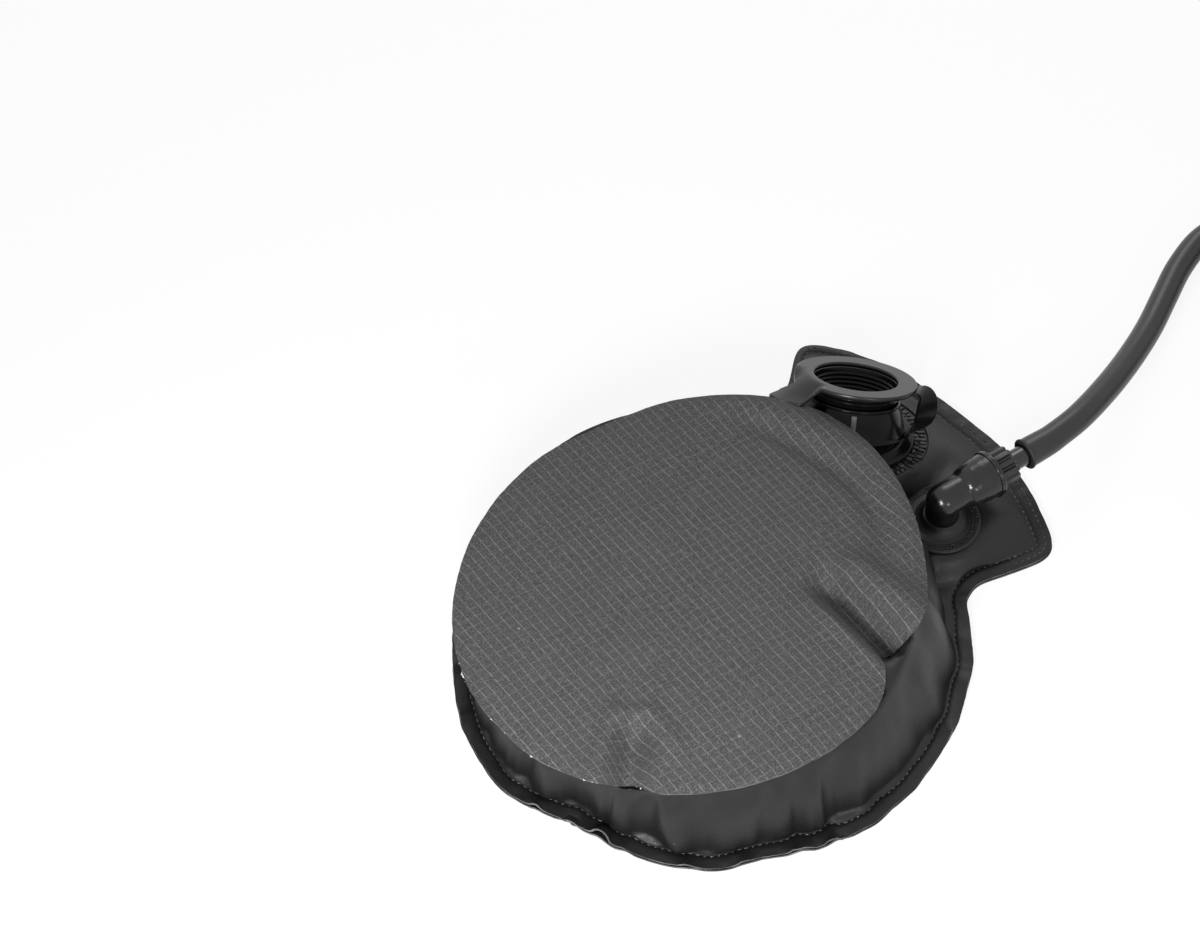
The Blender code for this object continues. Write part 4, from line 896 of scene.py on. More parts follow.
def film_rows(count):
    """Rows of film points from the sewn edge to the dome's top."""
    angles, outer, lift, seam, _ = seam_line(count)
    out_way = seam - CENTRE
    heading = np.degrees(headings(out_way))
    slack = slack_side(np.radians(heading))
    out_way /= np.linalg.norm(out_way, axis=1)[:, None]
    shoulder = CENTRE + out_way * SHOULDER_RADIUS
    span = np.linalg.norm(shoulder - seam, axis=1)
    broad = between(heading, -2, 22, 34, 16)
    wall = np.minimum(0.955 * span, (15 + 9 * broad) * MM)
    rows = []

    for i, share in enumerate(FLANGE_SHARES):
        height = edge_lift(lift, share) - 0.4 * MM * bell(share - 1.0, 0.1)
        height = height + 0.3 * MM * ring_noise(angles, 210, 51 + i) * math.sin(math.pi * share ** 0.7)
        rows.append(np.column_stack([mix(outer, seam, share), height]))

    for i in range(1, GUTTER_ROWS + 1):
        reach = (span - wall) * i / GUTTER_ROWS
        spot = seam - out_way * reach[:, None]
        rows.append(np.column_stack([spot, foot_height(spot, reach, span)]))

    low = rows[-1][:, 2]
    for i in range(1, WALL_ROWS + 1):
        rise = 0.5 - 0.5 * math.cos(math.pi * i / WALL_ROWS)
        full = 0.9 * (1 - rise ** 1.7) ** 0.75 + 0.1 * (1 - rise) ** 8
        out = mix(mix(full, (1 - rise) ** 0.85, 0.75 * broad), (1 - rise) ** 1.2, slack)
        spot = shoulder + out_way * (wall * out)[:, None]
        rows.append(np.column_stack([spot, under_disc(spot, low + (DOME_TOP - low) * rise)]))

    for share in DOME_SHARES:
        spot = CENTRE + out_way * (SHOULDER_RADIUS * share)
        rows.append(np.column_stack([spot, under_disc(spot, np.full(count, DOME_TOP))]))
    return rows


def push_wrinkles(grid):
    """Soft upright swells of the wall and gathers over the seam, along its normals."""
    along = np.roll(grid, -1, axis=1) - np.roll(grid, 1, axis=1)
    normal = np.cross(along, np.gradient(grid, axis=0))
    normal /= np.maximum(np.linalg.norm(normal, axis=2), 1e-9)[:, :, None]
    spots = grid.reshape(-1, 3)
    offset, height = spots[:, :2] - CENTRE, spots[:, 2]
    angles = headings(spots) + 0.03 * lattice_noise(spots, 18 * MM, 31)
    degrees = np.degrees(angles)
    on_wall = smoothstep((np.linalg.norm(offset, axis=1) - 75.5 * MM) / (3 * MM))
    on_wall = on_wall * (1 - smoothstep((spots[:, 1] - 62 * MM) / (16 * MM)))
    on_wall = on_wall * smoothstep((height - 2.0 * MM) / (1.5 * MM))
    calm = between(degrees, -22, 16, 80, 10)
    fade = smoothstep((34 * MM - height) / (12 * MM))
    swell = mix(2.6, 0.9, calm) * ring_noise(angles, 26, 15) + mix(1.3, 0.2, calm) * ring_noise(angles, 60, 16)
    tucks = 0.9 * pucker_field(degrees) + 0.9 * ring_noise(angles, 130, 18)
    tucks = tucks * np.exp(-height / (9 * MM)) * mix(1.0, 0.3, calm)
    push = (swell * fade + tucks - 0.5) * MM * on_wall * (1 - 0.85 * slack_side(headings(offset)))
    return grid + (normal.reshape(-1, 3) * push[:, None]).reshape(grid.shape)


def build_film(materials):
    """Domed film, sewn to the base round its edge."""
    mesh = closed_mesh("bladder_film", push_wrinkles(np.stack(film_rows(FILM_COUNT))), (*DOME_CENTRE, DOME_TOP))
    shape = bmesh.new()
    shape.from_mesh(mesh)
    to_weld = WELD_FRAME.inverted()
    holes = []
    for vert in shape.verts:
        local = to_weld @ vert.co
        in_intake = math.hypot(local.x, local.y) < INTAKE_HOLE and abs(local.z) < 8 * MM
        if in_intake or (vert.co.xy - OUTLET).length < OUTLET_HOLE:
            holes.append(vert)
    bmesh.ops.delete(shape, geom=holes, context="VERTS")
    shape.to_mesh(mesh)
    shape.free()
    made = add_object("bladder_film", mesh, materials["film"])
    press_with_film(skinned(made, FILM_SKIN, materials["cut_edge"]))
    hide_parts("bladder_top")


def build_base(materials):
    """Flat base sheet, lifted a little where the flange waves."""
    _, outer, lift, _, inward = seam_line(BASE_COUNT)
    outer = outer - inward * (0.2 * MM)
    rows = []
    for distance in BASE_STEPS:
        height = FILM + lift * max(0.0, 1 - distance / 6.0) ** 1.2
        rows.append(np.column_stack([outer + inward * (distance * MM), height]))
    flat = rows[-1]
    rows += [flat * (share, share, 1.0) for share in (0.8, 0.5, 0.2)]
    mesh = closed_mesh("base_skin", rows, (0, 0, FILM))
    made = skinned(add_object("base_skin", mesh, materials["film"]), FILM, materials["cut_edge"])
    finish_piece(made, "base", "base_sheet")


def build_disc(materials):
    """Ripstop disc with its folds."""
    angles = np.linspace(-math.pi, math.pi, DISC_COUNT, endpoint=False)
    edge = tread_edge(angles)
    rows = []
    for i in range(DISC_ROWS):
        share = 1 - (i / DISC_ROWS) ** 1.1
        spot = CENTRE + ways_at(angles) * (edge * share)[:, None]
        droop = 0.5 * MM * smoothstep((share - 0.96) / 0.04)
        flutter = 0.18 * MM * ring_noise(angles, 40, 41) * smoothstep((share - 0.92) / 0.08)
        rows.append(np.column_stack([spot, TREAD_TOP + disc_relief(spot) - droop + flutter]))
    mesh = closed_mesh("tread_skin", rows, (*DOME_CENTRE, TREAD_TOP + disc_relief(CENTRE[None])[0]))
    made = add_object("tread_skin", mesh, materials["ripstop"])
    skinned(made, DISC_SKIN, materials["cut_edge"])
    press_with_disc(made)
    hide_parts("tread_disc")


def build_fray(materials):
    """White bits of backing that stand out at the disc's cut edge."""
    generator = np.random.RandomState(5)
    vertices, faces = [], []
    spots = [(math.radians(angle), size) for angle, size in FRAYS]
    for _ in range(SMALL_FRAYS):
        spots.append((math.radians(generator.uniform(-160, -55)), generator.uniform(0.05, 0.16)))
    edge = tread_edge(np.array([angle for angle, _ in spots]))
    for (angle, size), radius in zip(spots, edge):
        way = polar(1.0, angle)
        side = Vector((-way.y, way.x))
        middle = DOME_CENTRE + way * radius
        level = TREAD_TOP + disc_relief(np.array([middle]))[0] - 1.0 * MM
        length = size * generator.uniform(0.8, 1.7) * MM
        start = len(vertices)
        for k in range(7):
            t = k / 6 * 2 - 1
            out = size * MM * (1 - t * t) * generator.uniform(0.25, 0.6)
            point = middle + side * (length * t) + way * (out + 0.05 * MM)
            back = point - way * (0.3 * MM + size * 0.2 * MM)
            vertices.append((*point, level + generator.uniform(-0.1, 0.2) * MM))
            vertices.append((*back, level + 0.3 * MM))
        faces += [(i, i + 2, i + 3, i + 1) for i in range(start, start + 12, 2)]
    made = add_object("edge_fray", mesh_from("edge_fray", vertices, faces), materials["fray"])
    press_with_disc(skinned(made, FRAY_SKIN))


def build_foam(materials):
    """Foam block inside the dome, pressed in under the disc's folds."""
    bottom, top, outer = 1.2 * MM, 31.0 * MM, 72.6 * MM
    ways = ways_at(np.linspace(-math.pi, math.pi, FOAM_COUNT, endpoint=False))
    profile = [(outer, bottom), (outer, 10 * MM), (outer, 20 * MM), (outer, top - 4 * MM),
               (outer - 0.6 * MM, top - 2 * MM), (outer - 2 * MM, top - 0.6 * MM)]
    profile += [(outer * share, top) for share in np.linspace(0.94, 0.04, 24)]
    rows = []
    for radius, level in profile:
        spot = CENTRE + ways * radius
        rows.append(np.column_stack([spot, np.minimum(level, TREAD_TOP + disc_relief(spot) - 3.4 * MM)]))
    mesh = closed_mesh("foam_block", rows, (*DOME_CENTRE, top), (*DOME_CENTRE, bottom))
    made = add_object("foam_block", solid(mesh, 50), materials["foam"])
    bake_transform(made)
    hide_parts("foam_core")


# Pieces scattered by geometry nodes

def scatter(tree, given, end, shape, points, rotation, size, low, high):
    """Set copies of a shape of varied size on points, then realize and paint them."""
    varied = add_node(tree, "FunctionNodeRandomValue", {0: low, 1: high, "Seed": given["Seed"]},
                      data_type="FLOAT_VECTOR").outputs[0]
    place = add_node(tree, "GeometryNodeInstanceOnPoints", {
        "Points": points, "Instance": shape, "Rotation": rotation,
        "Scale": vector_maths(tree, "MULTIPLY", size, varied)})
    real = add_node(tree, "GeometryNodeRealizeInstances", {"Geometry": place.outputs["Instances"]})
    paint = add_node(tree, "GeometryNodeSetMaterial", {
        "Geometry": real.outputs["Geometry"], "Material": given["Material"]})
    feed(tree, end, {"Geometry": paint.outputs["Geometry"]})
    return tree


def stitches():
    """Geometry nodes that set short stitches along a path."""
    tree, given, end = group_tree(
        "stitches", "GeometryNodeTree",
        {"Geometry": "Geometry", "Pitch": "Float", "Length": "Float", "Thickness": "Float", "Seed": "Int",
         "Material": "Material"}, {"Geometry": "Geometry"})
    curve = add_node(tree, "GeometryNodeMeshToCurve", {"Mesh": given["Geometry"]}).outputs["Curve"]
    spread = add_node(tree, "GeometryNodeCurveToPoints", {"Curve": curve, "Length": given["Pitch"]},
                      mode="LENGTH").outputs
    ball = add_node(tree, "GeometryNodeMeshIcoSphere", {"Subdivisions": 2, "Radius": 0.5}).outputs["Mesh"]
    size = add_node(tree, "ShaderNodeCombineXYZ", {
        "X": given["Thickness"], "Y": given["Thickness"], "Z": given["Length"]}).outputs[0]
    return scatter(tree, given, end, ball, spread["Points"], spread["Rotation"], size,
                   (0.6, 0.6, 0.4), (1.3, 1.3, 1.25))


def radial_ribs():
    """Geometry nodes that set short uneven ribs side by side round a circle."""
    tree, given, end = group_tree(
        "radial_ribs", "GeometryNodeTree",
        {"Count": "Int", "Radius": "Float", "Length": "Float", "Width": "Float", "Seed": "Int",
         "Material": "Material"}, {"Geometry": "Geometry"})
    circle = add_node(tree, "GeometryNodeMeshCircle", {"Vertices": given["Count"], "Radius": given["Radius"]})
    ball = add_node(tree, "GeometryNodeMeshUVSphere", {"Segments": 8, "Rings": 6, "Radius": 0.5}).outputs["Mesh"]
    spot = tree.nodes.new("GeometryNodeInputPosition").outputs["Position"]
    aim = add_node(tree, "FunctionNodeAlignRotationToVector", {"Vector": spot}, axis="X").outputs["Rotation"]
    size = add_node(tree, "ShaderNodeCombineXYZ", {
        "X": given["Length"], "Y": given["Width"], "Z": given["Width"]}).outputs[0]
    return scatter(tree, given, end, ball, circle.outputs["Mesh"], aim, size, (0.4, 0.4, 0.3), (1.2, 1.5, 1.15))


def run_nodes(made, make_tree, values):
    """Keep what a node tree, made on its first use, makes of an object with the given inputs."""
    nodes = made.modifiers.new("nodes", "NODES")
    nodes.node_group = bpy.data.node_groups.get(make_tree.__name__) or make_tree()
    for item in nodes.node_group.interface.items_tree:
        if item.item_type == "SOCKET" and item.in_out == "INPUT" and item.name in values:
            nodes[item.identifier] = values[item.name]
    bake(made)
    made.data.shade_smooth()
    return made


def stitched(name, points, materials, closed=True):
    """Row of stitches through points."""
    settings = bpy.context.scene.pump_settings
    edges = [(i, i + 1) for i in range(len(points) - 1)]
    if closed:
        edges.append((len(points) - 1, 0))
    mesh = bpy.data.meshes.new(name)
    mesh.from_pydata([tuple(point) for point in points], edges, [])
    made = run_nodes(add_object(name, mesh, None), stitches, {
        "Pitch": settings.stitch_pitch, "Length": settings.stitch_pitch * STITCH_SHARE,
        "Thickness": STITCH_THICKNESS, "Seed": settings.stitch_seed, "Material": materials["thread"]})
    finish_piece(made, "base")


def build_stitches(materials):
    """Stitch rows of the flange: one at the wall's foot and one near the tail's edge."""
    share = 0.42
    _, outer, lift, seam, _ = seam_line(STITCH_COUNT)
    level = np.full(STITCH_COUNT, FILM_EDGE_TOP - 0.3 * MM)
    stitched("seam_stitches", np.column_stack([seam, level]), materials)
    spots = np.column_stack([mix(outer, seam, share), edge_lift(lift, share) + 0.05 * MM])
    stitched("tail_stitches", spots[outer[:, 1] > 95 * MM], materials, closed=False)


def rib_ring(name, count, sizes, seed, around, paint, side=None):
    """Ring of short ribs in a frame. Sizes are its radius and the ribs' length and width, in millimetres. With a
    side, the ribs die away on the other one."""
    radius, length, width = (size * MM for size in sizes)
    made = run_nodes(add_object(name, bpy.data.meshes.new(name), None), radial_ribs, {
        "Count": count, "Radius": radius, "Length": length, "Width": width, "Seed": seed, "Material": paint})
    if side is not None:
        side = (around.to_3x3().inverted() @ side).normalized()
        for vert in made.data.vertices:
            share = float(smoothstep((vert.co.xy.normalized().dot(side.xy) + 0.15) / 0.4))
            vert.co.z -= (1 - share) * 0.9 * MM
    made.data.transform(around)
    return made


# Intake

TO_WELD = WELD_FRAME.inverted() @ INTAKE_FRAME
BOWL = ((16.1, 7.6), (16.3, 7.25), (16.7, 7.15), (17.0, 7.35), (17.1, 7.8), (17.0, 8.3), (16.75, 8.6), (16.9, 9.1),
        (17.5, 10.3), (18.3, 11.9), (19.4, 14.8), (20.2, 17.2), (20.45, 18.2), (20.75, 18.35), (20.9, 18.7),
        (20.75, 19.1), (20.4, 19.3), (19.6, 19.5), (19.3, 20.4), (19.2, 22.0), (19.2, 34.0), (15.95, 34.0),
        (15.95, 17.9), (13.2, 17.9), (13.2, 17.2), (15.95, 17.2), (15.95, 9.0))
BOWL_TIERS = ((16.4, -2.2), (19.6, -2.2), (20.4, -1.4), (21.6, -0.9), (23.7, -0.3), (24.0, 0.2), (24.0, 1.2),
              (16.4, 1.2))
# Starts, ends and steps in degrees: close together along the tongue's two sides
PLATE_STEPS = ((-180.0, 180.0, 1.44), (-136.05, -123.9, 0.2), (-105.05, -94.9, 0.35))


def turn_by(degrees, axis):
    return Matrix.Rotation(math.radians(degrees), 4, axis)


def raised(height):
    return Matrix.Translation((0, 0, height))


def circle_loop(radius, count):
    return [polar(radius * MM, math.tau * i / count) for i in range(count)]


def thread_profile(radius, crest, start, end, pitch, steps=8):
    """Profile points of ridges between two depths."""
    turns = max(1, round(abs(end - start) / pitch))
    points = []
    for i in range(turns * steps + 1):
        t = i / (turns * steps)
        wave = 0.5 - 0.5 * math.cos(math.tau * turns * t)
        points.append((radius + (crest - radius) * wave ** 1.6, mix(start, end, t)))
    return points


def onto_weld(point):
    """Point in the intake's frame, moved along its axis up to the weld's underside if it is below."""
    under = (TO_WELD @ point).z + WELD_THICKNESS
    if under < 0:
        point.z -= under / (TO_WELD.to_3x3() @ UPWARD).z
    return point


def build_intake_bowl(materials):
    """Bowl of the intake and its weld flange."""
    mesh = turned_mesh("intake_bowl", downward(BOWL), INTAKE_FRAME, 144, 50, onto_weld)
    finish_piece(add_object("intake_bowl", mesh, materials["bowl"]), "seat", "intake_seat")
    flange = turned("intake_weld_flange", downward(BOWL_TIERS), WELD_FRAME, materials["bowl"], 128, 0.3)
    finish_piece(flange, "seat")


def build_bowl_ribs(materials):
    """Raised upright rib on the bowl's front, coloured light grey as a painted highlight, and the uneven ribs of the
    weld on the film round the bowl.
    """
    around = INTAKE_FRAME @ turn_by(-54.0, "Z") @ turn_by(90.0, "X")
    path = smooth_path([Vector((x, -y)) * MM for x, y in (
        (17.3, 9.2), (18.1, 11.0), (18.9, 13.0), (19.9, 16.0), (20.5, 18.4))], 4)
    # Rounded away from the axis, where corners stay sharp
    shift, half, thick = 10.0, 0.95, 0.4
    section = rounded([(shift + half, thick), (shift + half, -thick), (shift - half, -thick),
                       (shift - half, thick)], 0.3)
    rings = []
    for i, point in enumerate(path):
        way = way_at(path, i)
        side = Vector((-way.y, way.x))
        rings.append([around @ Vector((*(point + side * (out * MM)), (across - shift) * MM))
                      for across, out in section])
    finish_piece(swept("bowl_rib", rings, materials["rib"]), "seat")
    place = WELD_FRAME @ raised(-WELD_THICKNESS - 0.1 * MM)
    for index, (count, *sizes) in enumerate(((62, 24.7, 4.2, 1.5), (78, 27.2, 3.8, 1.2))):
        press_with_film(rib_ring(f"weld_ribs_{index}", count, sizes, 4 + index, place, materials["weld"],
                                 Vector((0.917, 0.4, 0))))
    line = [(radius, height - WELD_THICKNESS / MM) for radius, height in (
        (29.2, 0.0), (29.5, 0.35), (29.9, 0.35), (30.2, 0.0), (29.7, -0.4))]
    press_with_film(turned("weld_line", line, WELD_FRAME, materials["film"], 128))


def build_ring(materials):
    """Flat ring that runs out into a broad tongue, bent down toward the disc."""
    steps, inner, outer, thick, bevel, corner = 34, 15.15, 22.1, 1.8, 0.35, 1.4
    heading = np.sort(np.concatenate([np.arange(*span) for span in PLATE_STEPS]))
    angles = np.radians(heading[np.append(True, np.diff(heading) > 0.06)])
    heading = np.degrees(angles)
    cosine, sine = ways_at(angles).T
    along, across = np.maximum(-sine, 1e-3), np.maximum(-cosine, 1e-3)
    left = np.minimum(2.72 / np.maximum(0.824 * across - 0.567 * along, 1e-2), 60)
    turn = smoothstep((-heading - 97.0) / 26.0)
    front = mix(27.4, 33.6, turn) - 5.5 * smoothstep((-heading - 121.0) / 9.0)
    tip = -np.log(np.exp(-left / corner) + np.exp(-front / corner)) * corner
    tip = np.log(np.exp(outer / 1.5) + np.exp(tip / 1.5)) * 1.5 - 0.25
    share = smoothstep((-cosine - 0.12) / 0.08) * (sine < 0) * (cosine < 0)
    limit = mix(outer, np.maximum(outer, tip), share)

    def row(place, inset, height):
        radius = mix(inner + inset, limit - inset, place)
        return np.column_stack([radius * cosine, radius * sine, np.full(len(angles), height)])

    outward = [i / (steps - 1) for i in range(steps)]
    rows = [row(place, bevel, 0.0) for place in outward]
    rows += [row(1, 0.1, -0.1), row(1, 0.0, -bevel), row(1, 0.0, -thick + bevel)]
    rows += [row(place, bevel, -thick) for place in reversed(outward)]
    rows += [row(0, 0.0, -thick + bevel), row(0, 0.0, -bevel)]
    grid = np.stack(rows)
    past = np.maximum(0, np.hypot(grid[:, :, 0], grid[:, :, 1]) - 17.3) / 6.6
    grid[:, :, 2] -= between(heading, -158, 24, -101, 12) * mix(7.4, 6.3, turn) * (1 - np.exp(-past ** 1.7))
    mesh = ring_mesh("retainer_plate", [[INTAKE_FRAME @ (Vector(point) * MM) for point in line] for line in grid], 50)
    finish_piece(add_object("retainer_plate", mesh, materials["ring"]), "retainer", "retainer_ring")


def build_strap(materials):
    """Band that loops from the ring's edge down to the bowl, twisted where it turns."""
    path = smooth_path([Vector(point) * MM for point in (
        (22.4, -1.0), (25.0, -1.5), (26.6, -4.0), (27.0, -8.0), (26.2, -12.0), (23.8, -15.6), (21.0, -18.0))], 8)
    around = INTAKE_FRAME @ turn_by(25.0, "Z")
    section = rounded([(6.0, 0.65), (6.0, -0.65), (-2.6, -0.65), (-2.6, 0.65)], 0.45)
    rings = []
    for i, point in enumerate(path):
        way = way_at(path, i)
        tangent = Vector((way.x, 0, way.y))
        twist = math.radians(48.0) * math.sin(math.pi * i / (len(path) - 1)) ** 1.5
        side = Matrix.Rotation(twist, 3, tangent) @ Vector((0, 1, 0))
        out = tangent.cross(side)
        middle = Vector((point.x, 0, point.y))
        rings.append([around @ (middle + side * ((across - 1.7) * MM) + out * (thick * MM))
                      for across, thick in section])
    made = swept("retainer_loop", rings, materials["bowl"])
    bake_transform(made)
    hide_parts("retainer_strap")


def build_insert(materials):
    """Threaded neck with its grille."""
    profile = [(15.25, 1.9), (15.6, 2.1), (15.6, 2.5), *thread_profile(15.55, 16.15, 2.7, 6.75, 1.35),
               (15.5, 6.8), (15.4, 14.3), (15.1, 14.7), (13.4, 14.7), (13.4, 12.0), (14.0, 10.5),
               *thread_profile(14.75, 14.2, 9.9, 3.3, 1.65), (14.85, 3.0), (14.95, 2.1), (15.05, 1.9)]
    mesh = turned_mesh("insert_neck", downward(profile), INTAKE_FRAME, 128, 60)
    finish_piece(add_object("insert_neck", mesh, materials["bowl"]), "insert", "valve_insert")
    loops = [circle_loop(13.6, 96)]
    for index in range(4):
        middle = math.tau * (index + 0.5) / 4
        loop = []
        for radius, order in ((10.5, 1), (4.0, -1)):
            swing = math.pi / 4 - 1.2 / radius
            loop += [polar(radius * MM, middle + order * swing * (2 * i / 12 - 1)) for i in range(13)]
        loops.append(loop)
    loops.append(circle_loop(1.45, 24))
    around = INTAKE_FRAME @ raised(-11.25 * MM)
    finish_piece(extruded("insert_grille", loops, 1.5 * MM, 0.2 * MM, around, materials["satin"]), "insert")


# Outlet and elbow

def build_outlet(materials):
    """Weld flange with fine ribs, and the boss under the elbow."""
    top = 10.2
    profile = [(6.4, 13.4), (6.8, 12.6), (7.7, 11.4), (9.2, top + 0.35), (10.8, top + 0.1)]
    for foot in (11.3, 12.3, 13.3):
        profile += [(foot, top), (foot + 0.25, top + 0.25), (foot + 0.5, top)]
    profile += [(14.2, top - 0.1), (14.5, 9.7), (14.5, 9.4), (4.95, 9.4), (4.95, 13.4)]
    flange = turned("outlet_flange", profile, OUTLET_FRAME, materials["film"], 128, 0.2)
    finish_piece(flange, "base", "outlet_seat")
    place = OUTLET_FRAME @ raised((top - 0.02) * MM)
    for index, (count, radius) in enumerate(((58, 11.9), (66, 13.1))):
        finish_piece(rib_ring(f"outlet_ribs_{index}", count, (radius, 1.5, 0.75), 8 + index, place,
                              materials["film"]), "base")


def build_elbow(materials):
    """Knob, leg and chamber melted into one smooth moulding, then bored, and its mouth's fine mould line."""
    knob = [(max(6.3 * math.sin(math.pi * i / 16), 0.0), -6.3 * math.cos(math.pi * i / 16)) for i in range(17)]
    chamber = rounded([(0.0, 21.7), (8.75, 21.7), (8.75, 20.5), (8.4, 20.1), (8.3, 16.0), (7.9, 12.4), (7.3, 9.6),
                       (6.6, 8.3), (0.0, 7.4)], 0.6)
    neck = [(0.0, 8.6), (6.1, 8.6), (6.25, 4.0), (6.3, 0.0), (0.0, 0.0)]
    leg = [(0.0, 22.0), (6.2, 22.0), (5.9, 13.7), (4.6, 13.7), (4.6, 10.3), (0.0, 10.3)]
    shape = bmesh.new()
    for profile, around, facets in ((knob, ELBOW_FRAME, 64), (chamber, ELBOW_FRAME, 96), (neck, ELBOW_FRAME, 64),
                                    (leg, OUTLET_FRAME, 64)):
        shape.from_mesh(turned_mesh("elbow_part", profile, around, facets))
    mesh = bpy.data.meshes.new("elbow_body")
    shape.to_mesh(mesh)
    shape.free()
    made = add_object("elbow_body", mesh, materials["elbow"])
    melt = made.modifiers.new("melt", "REMESH")
    melt.mode, melt.voxel_size = "VOXEL", 0.32 * MM
    soften = made.modifiers.new("soften", "SMOOTH")
    soften.factor, soften.iterations = 0.5, 14
    bake(made)
    cut(made, [(0.0, 30.0), (5.9, 30.0), (5.9, 8.0), (0.0, 8.0)], ELBOW_FRAME, 64)
    cut(made, [(0.0, 22.0), (2.6, 22.0), (2.6, 5.0), (0.0, 5.0)], OUTLET_FRAME, 32)
    made.data.materials.clear()
    made.data.materials.append(materials["elbow"])
    smooth(made.data, 50)
    finish_piece(made, "elbow", "elbow")
    lip = [(8.7, 20.3), (8.9, 20.1), (8.9, 19.7), (8.65, 19.5), (7.9, 19.5), (7.9, 20.3)]
    finish_piece(turned("chamber_bead", lip, ELBOW_FRAME, materials["elbow"], 96, 0.1), "elbow")


def build_nut(materials):
    """Fluted nut and its shank."""
    flutes, per = 12, 16
    loop = []
    for i in range(flutes * per):
        depth = max(0.0, math.sin(math.tau * (i % per) / per)) ** 0.7
        loop.append(polar((6.9 - depth) * MM, math.tau * i / (flutes * per)))
    middle = ELBOW_FRAME @ raised(NUT_START + NUT_LENGTH / 2)
    made = extruded("fluted_nut", [loop, circle_loop(4.1, 64)], NUT_LENGTH, 0.3 * MM, middle, materials["satin"])
    finish_piece(made, "gland_nut", "gland_nut")
    shank = [(5.6, 21.95), (5.6, 16.1), (4.1, 16.1), (4.1, 21.95)]
    finish_piece(turned("nut_shank", shank, ELBOW_FRAME, materials["satin"], 64), "gland_nut")


# Hose

def coil_points():
    """Centre line of the coil with its straight ends, and the direction in which it leaves."""
    way = (RUN_END - HOSE_ROUTE[-1]).normalized()
    start = RUN_END + way * GAP
    lead_end = start + way * HOSE_DIAMETER
    centre = lead_end + Vector((way.y, -way.x, 0)) * COIL_RADIUS
    first = math.atan2(lead_end.y - centre.y, lead_end.x - centre.x)
    points, fine = [start], 4
    for i in range(COIL_STEPS * fine + 1):
        turned_by = COIL_STEP * i / fine
        climbed = float(smoothstep((turned_by / math.tau - 0.60) / 0.40))
        points.append(centre + Vector((*polar(COIL_RADIUS, first - turned_by), COIL_CLIMB * climbed)))
    leave = Vector((*polar(1.0, first - COIL_STEP * COIL_STEPS - math.pi / 2), 0))
    return points + [points[-1] + leave * HOSE_DIAMETER], leave


def path_length(points):
    return sum((end - start).length for start, end in zip(points, points[1:]))


def hose_points():
    """The hose's whole centre line, from the barb to the connector."""
    straight = HOSE_EXIT + ELBOW_WAY * (HOSE_DIAMETER + 1 * MM)
    square = RUN_END - (RUN_END - HOSE_ROUTE[-1]).normalized() * HOSE_DIAMETER
    run = [HOSE_EXIT] + smooth_path([straight] + HOSE_ROUTE + [square], 12) + [RUN_END]
    turns, leave = coil_points()
    start = turns[-1] + leave * GAP
    length = HOSE_LENGTH - path_length(run) - path_length(turns)
    tail = []
    for i in range(25):
        travelled = length * i / 24
        settled = float(smoothstep((travelled - HOSE_DIAMETER) / (length - 2.5 * HOSE_DIAMETER)))
        tail.append(Vector((*(start + leave * travelled).xy, mix(start.z, NUT_RADIUS + GAP, settled))))
    return evenly(run + turns + tail, 260)


def build_hose(materials):
    """Air hose on one smooth centre line, with its open lip at the barb."""
    points = hose_points()
    curve = bpy.data.curves.new("air_hose", "CURVE")
    curve.dimensions, curve.twist_mode = "3D", "MINIMUM"
    curve.bevel_depth, curve.bevel_resolution = HOSE_DIAMETER / 2, 10
    curve.use_fill_caps = True
    spline = curve.splines.new("POLY")
    spline.points.add(len(points) - 1)
    for point, spot in zip(spline.points, points):
        point.co = (*spot, 1)
        near = math.dist(spot, HOSE_EXIT) / HOSE_DIAMETER
        point.radius = 1.0 + 0.09 * math.exp(-(near / 1.1) ** 2)
    spline.use_smooth = True
    made = add_object("air_hose", curve, materials["hose"])
    finish_piece(made, "elbow", "hose_run", "hose_coil", "hose_tail")
    lip = [(4.15, -0.3), (5.3, -0.4), (5.8, -0.1), (5.85, 0.4), (5.55, 0.85), (5.3, 1.0), (4.15, 1.0)]
    along = frame_at(HOSE_EXIT, ELBOW_WAY, UPWARD)
    finish_piece(turned("hose_lip", lip, along, materials["rubber"], 64, 0.2), "elbow")


def paint_cad(materials):
    """Give the CAD nodes that stay their materials."""
    paints = {
        "rubber": ("insert_gasket", "intake_flap", "elbow_seal", "check_disc", "gland_washer", "nozzle_seal"),
        "satin": ("flap_pin", "tank_nut"), "gloss": ("hose_barb", "tank_nozzle"), "webbing": ("coil_tie",)}
    for paint, names in paints.items():
        for name in names:
            for slot in bpy.data.objects[name].material_slots:
                slot.material = materials[paint]


# Add-on

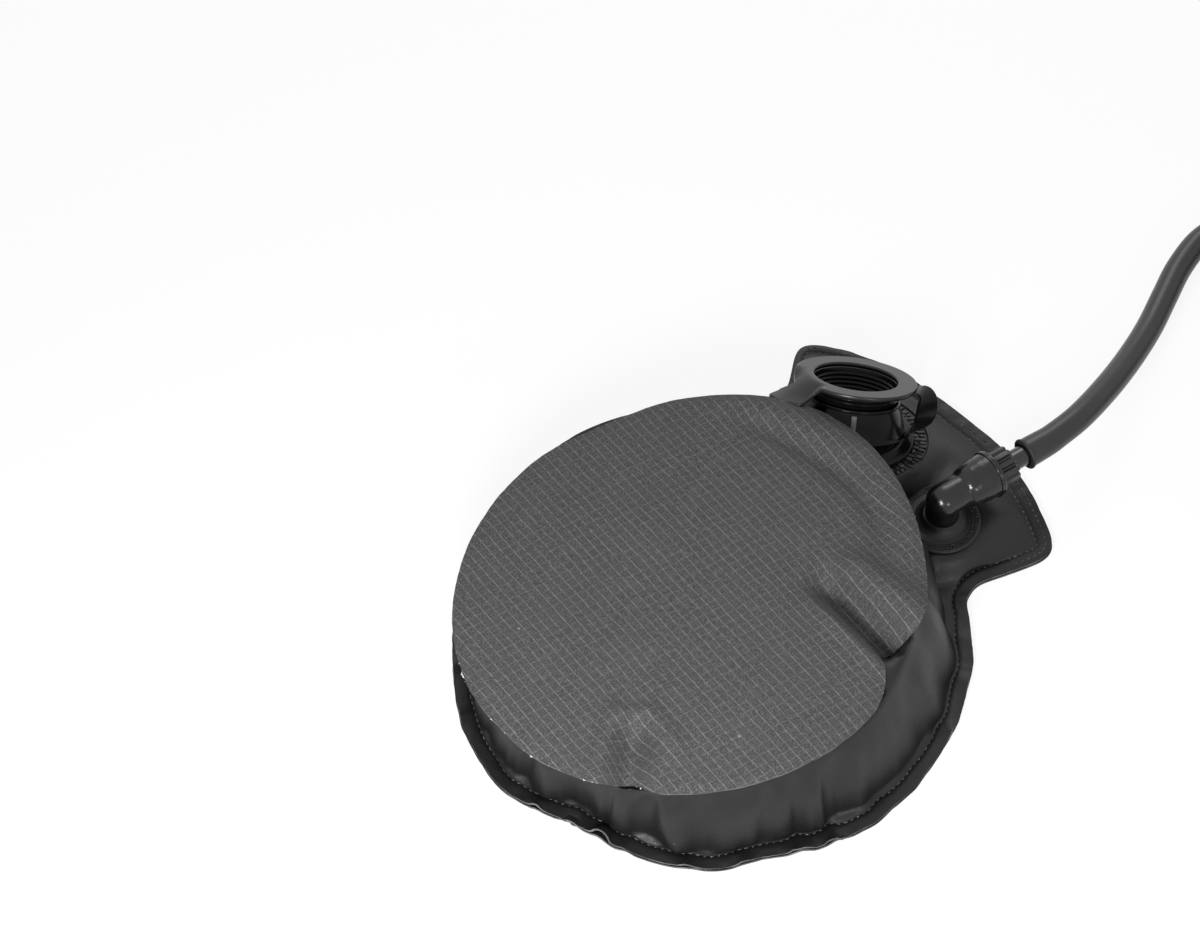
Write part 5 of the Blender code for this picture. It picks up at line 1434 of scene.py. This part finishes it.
class PumpSettings(bpy.types.PropertyGroup):
    """Sizes and colours of the pump's cloth, film and mouldings."""

    cloth_colour: FloatVectorProperty(
        name="Cloth", description="Colour of the disc's ripstop cloth", subtype="COLOR", default=(0.045, 0.045, 0.046))
    grid_colour: FloatVectorProperty(
        name="Grid threads", description="Colour of the threads that stand out in the cloth", subtype="COLOR",
        default=(0.23, 0.23, 0.23))
    film_colour: FloatVectorProperty(
        name="Film", description="Colour of the coated fabric of the bladder", subtype="COLOR",
        default=(0.0085, 0.0085, 0.009))
    moulding_colour: FloatVectorProperty(
        name="Mouldings", description="Colour of the valve and elbow mouldings", subtype="COLOR",
        default=(0.008, 0.008, 0.0085))
    hose_colour: FloatVectorProperty(
        name="Hose", description="Colour of the air hose", subtype="COLOR", default=(0.014, 0.014, 0.0145))
    grid_spacing: FloatProperty(
        name="Grid spacing", description="Distance between the cloth's light threads", unit="LENGTH", default=0.0032)
    grid_heading: FloatProperty(
        name="Grid heading", description="Turn of the cloth's thread grid on the disc", subtype="ANGLE",
        default=math.radians(-6.0))
    thread_width: FloatProperty(
        name="Thread half width", description="Half the width of a light thread", unit="LENGTH", default=0.00023)
    stitch_pitch: FloatProperty(
        name="Stitch pitch", description="Distance between stitches of the seam", unit="LENGTH", default=0.0024)
    stitch_seed: IntProperty(
        name="Stitch seed", description="Seed of the small differences between stitches", default=3)


MATERIALS = {}


def materials():
    """Materials, made once and kept for every operator."""
    if not MATERIALS:
        MATERIALS.update(make_materials(bpy.context.scene.pump_settings))
    return MATERIALS


class PieceStep:
    """Step that builds its pieces one after another."""

    builds = ()

    def execute(self, context):
        for build in self.builds:
            build(materials())
        return {"FINISHED"}


class PUMP_OT_stage(bpy.types.Operator):
    """Set the camera and the lights."""

    bl_idname = "pump.stage"
    bl_label = "Camera and lights"

    def execute(self, context):
        build_stage()
        return {"FINISHED"}


class PUMP_OT_hose(PieceStep, bpy.types.Operator):
    """Build the air hose and its lip at the barb."""

    bl_idname = "pump.hose"
    bl_label = "Air hose"
    builds = (build_hose,)


class PUMP_OT_fabric(PieceStep, bpy.types.Operator):
    """Build the base, the film, the foam, the disc and the stitches."""

    bl_idname = "pump.fabric"
    bl_label = "Fabric"
    builds = (build_base, build_film, build_foam, build_disc, build_fray, build_stitches)


class PUMP_OT_intake(PieceStep, bpy.types.Operator):
    """Build the intake valve."""

    bl_idname = "pump.intake"
    bl_label = "Intake valve"
    builds = (build_intake_bowl, build_bowl_ribs, build_ring, build_strap, build_insert)


class PUMP_OT_outlet(PieceStep, bpy.types.Operator):
    """Build the outlet and its elbow, and paint the small parts."""

    bl_idname = "pump.outlet"
    bl_label = "Outlet and elbow"
    builds = (build_outlet, build_elbow, build_nut, paint_cad)


class PUMP_PT_panel(bpy.types.Panel):
    """Sizes and colours, and a button for each group of pieces."""

    bl_idname = "PUMP_PT_panel"
    bl_label = "Pump"
    bl_space_type = "VIEW_3D"
    bl_region_type = "UI"
    bl_category = "Pump"

    def draw(self, context):
        settings = context.scene.pump_settings
        for name in PumpSettings.__annotations__:
            self.layout.prop(settings, name)
        for operator in STEPS:
            self.layout.operator(operator)


CLASSES = (PumpSettings, PUMP_OT_stage, PUMP_OT_hose, PUMP_OT_fabric, PUMP_OT_intake, PUMP_OT_outlet, PUMP_PT_panel)
STEPS = ("pump.stage", "pump.hose", "pump.fabric", "pump.intake", "pump.outlet")


def register():
    for kind in CLASSES:
        bpy.utils.register_class(kind)
    bpy.types.Scene.pump_settings = PointerProperty(type=PumpSettings)


def unregister():
    del bpy.types.Scene.pump_settings
    for kind in reversed(CLASSES):
        bpy.utils.unregister_class(kind)


def main():
    register()
    bpy.ops.pump.stage()
    bpy.ops.pump.hose()
    bpy.ops.pump.fabric()
    bpy.ops.pump.intake()
    bpy.ops.pump.outlet()


if __name__ == "__main__":
    main()
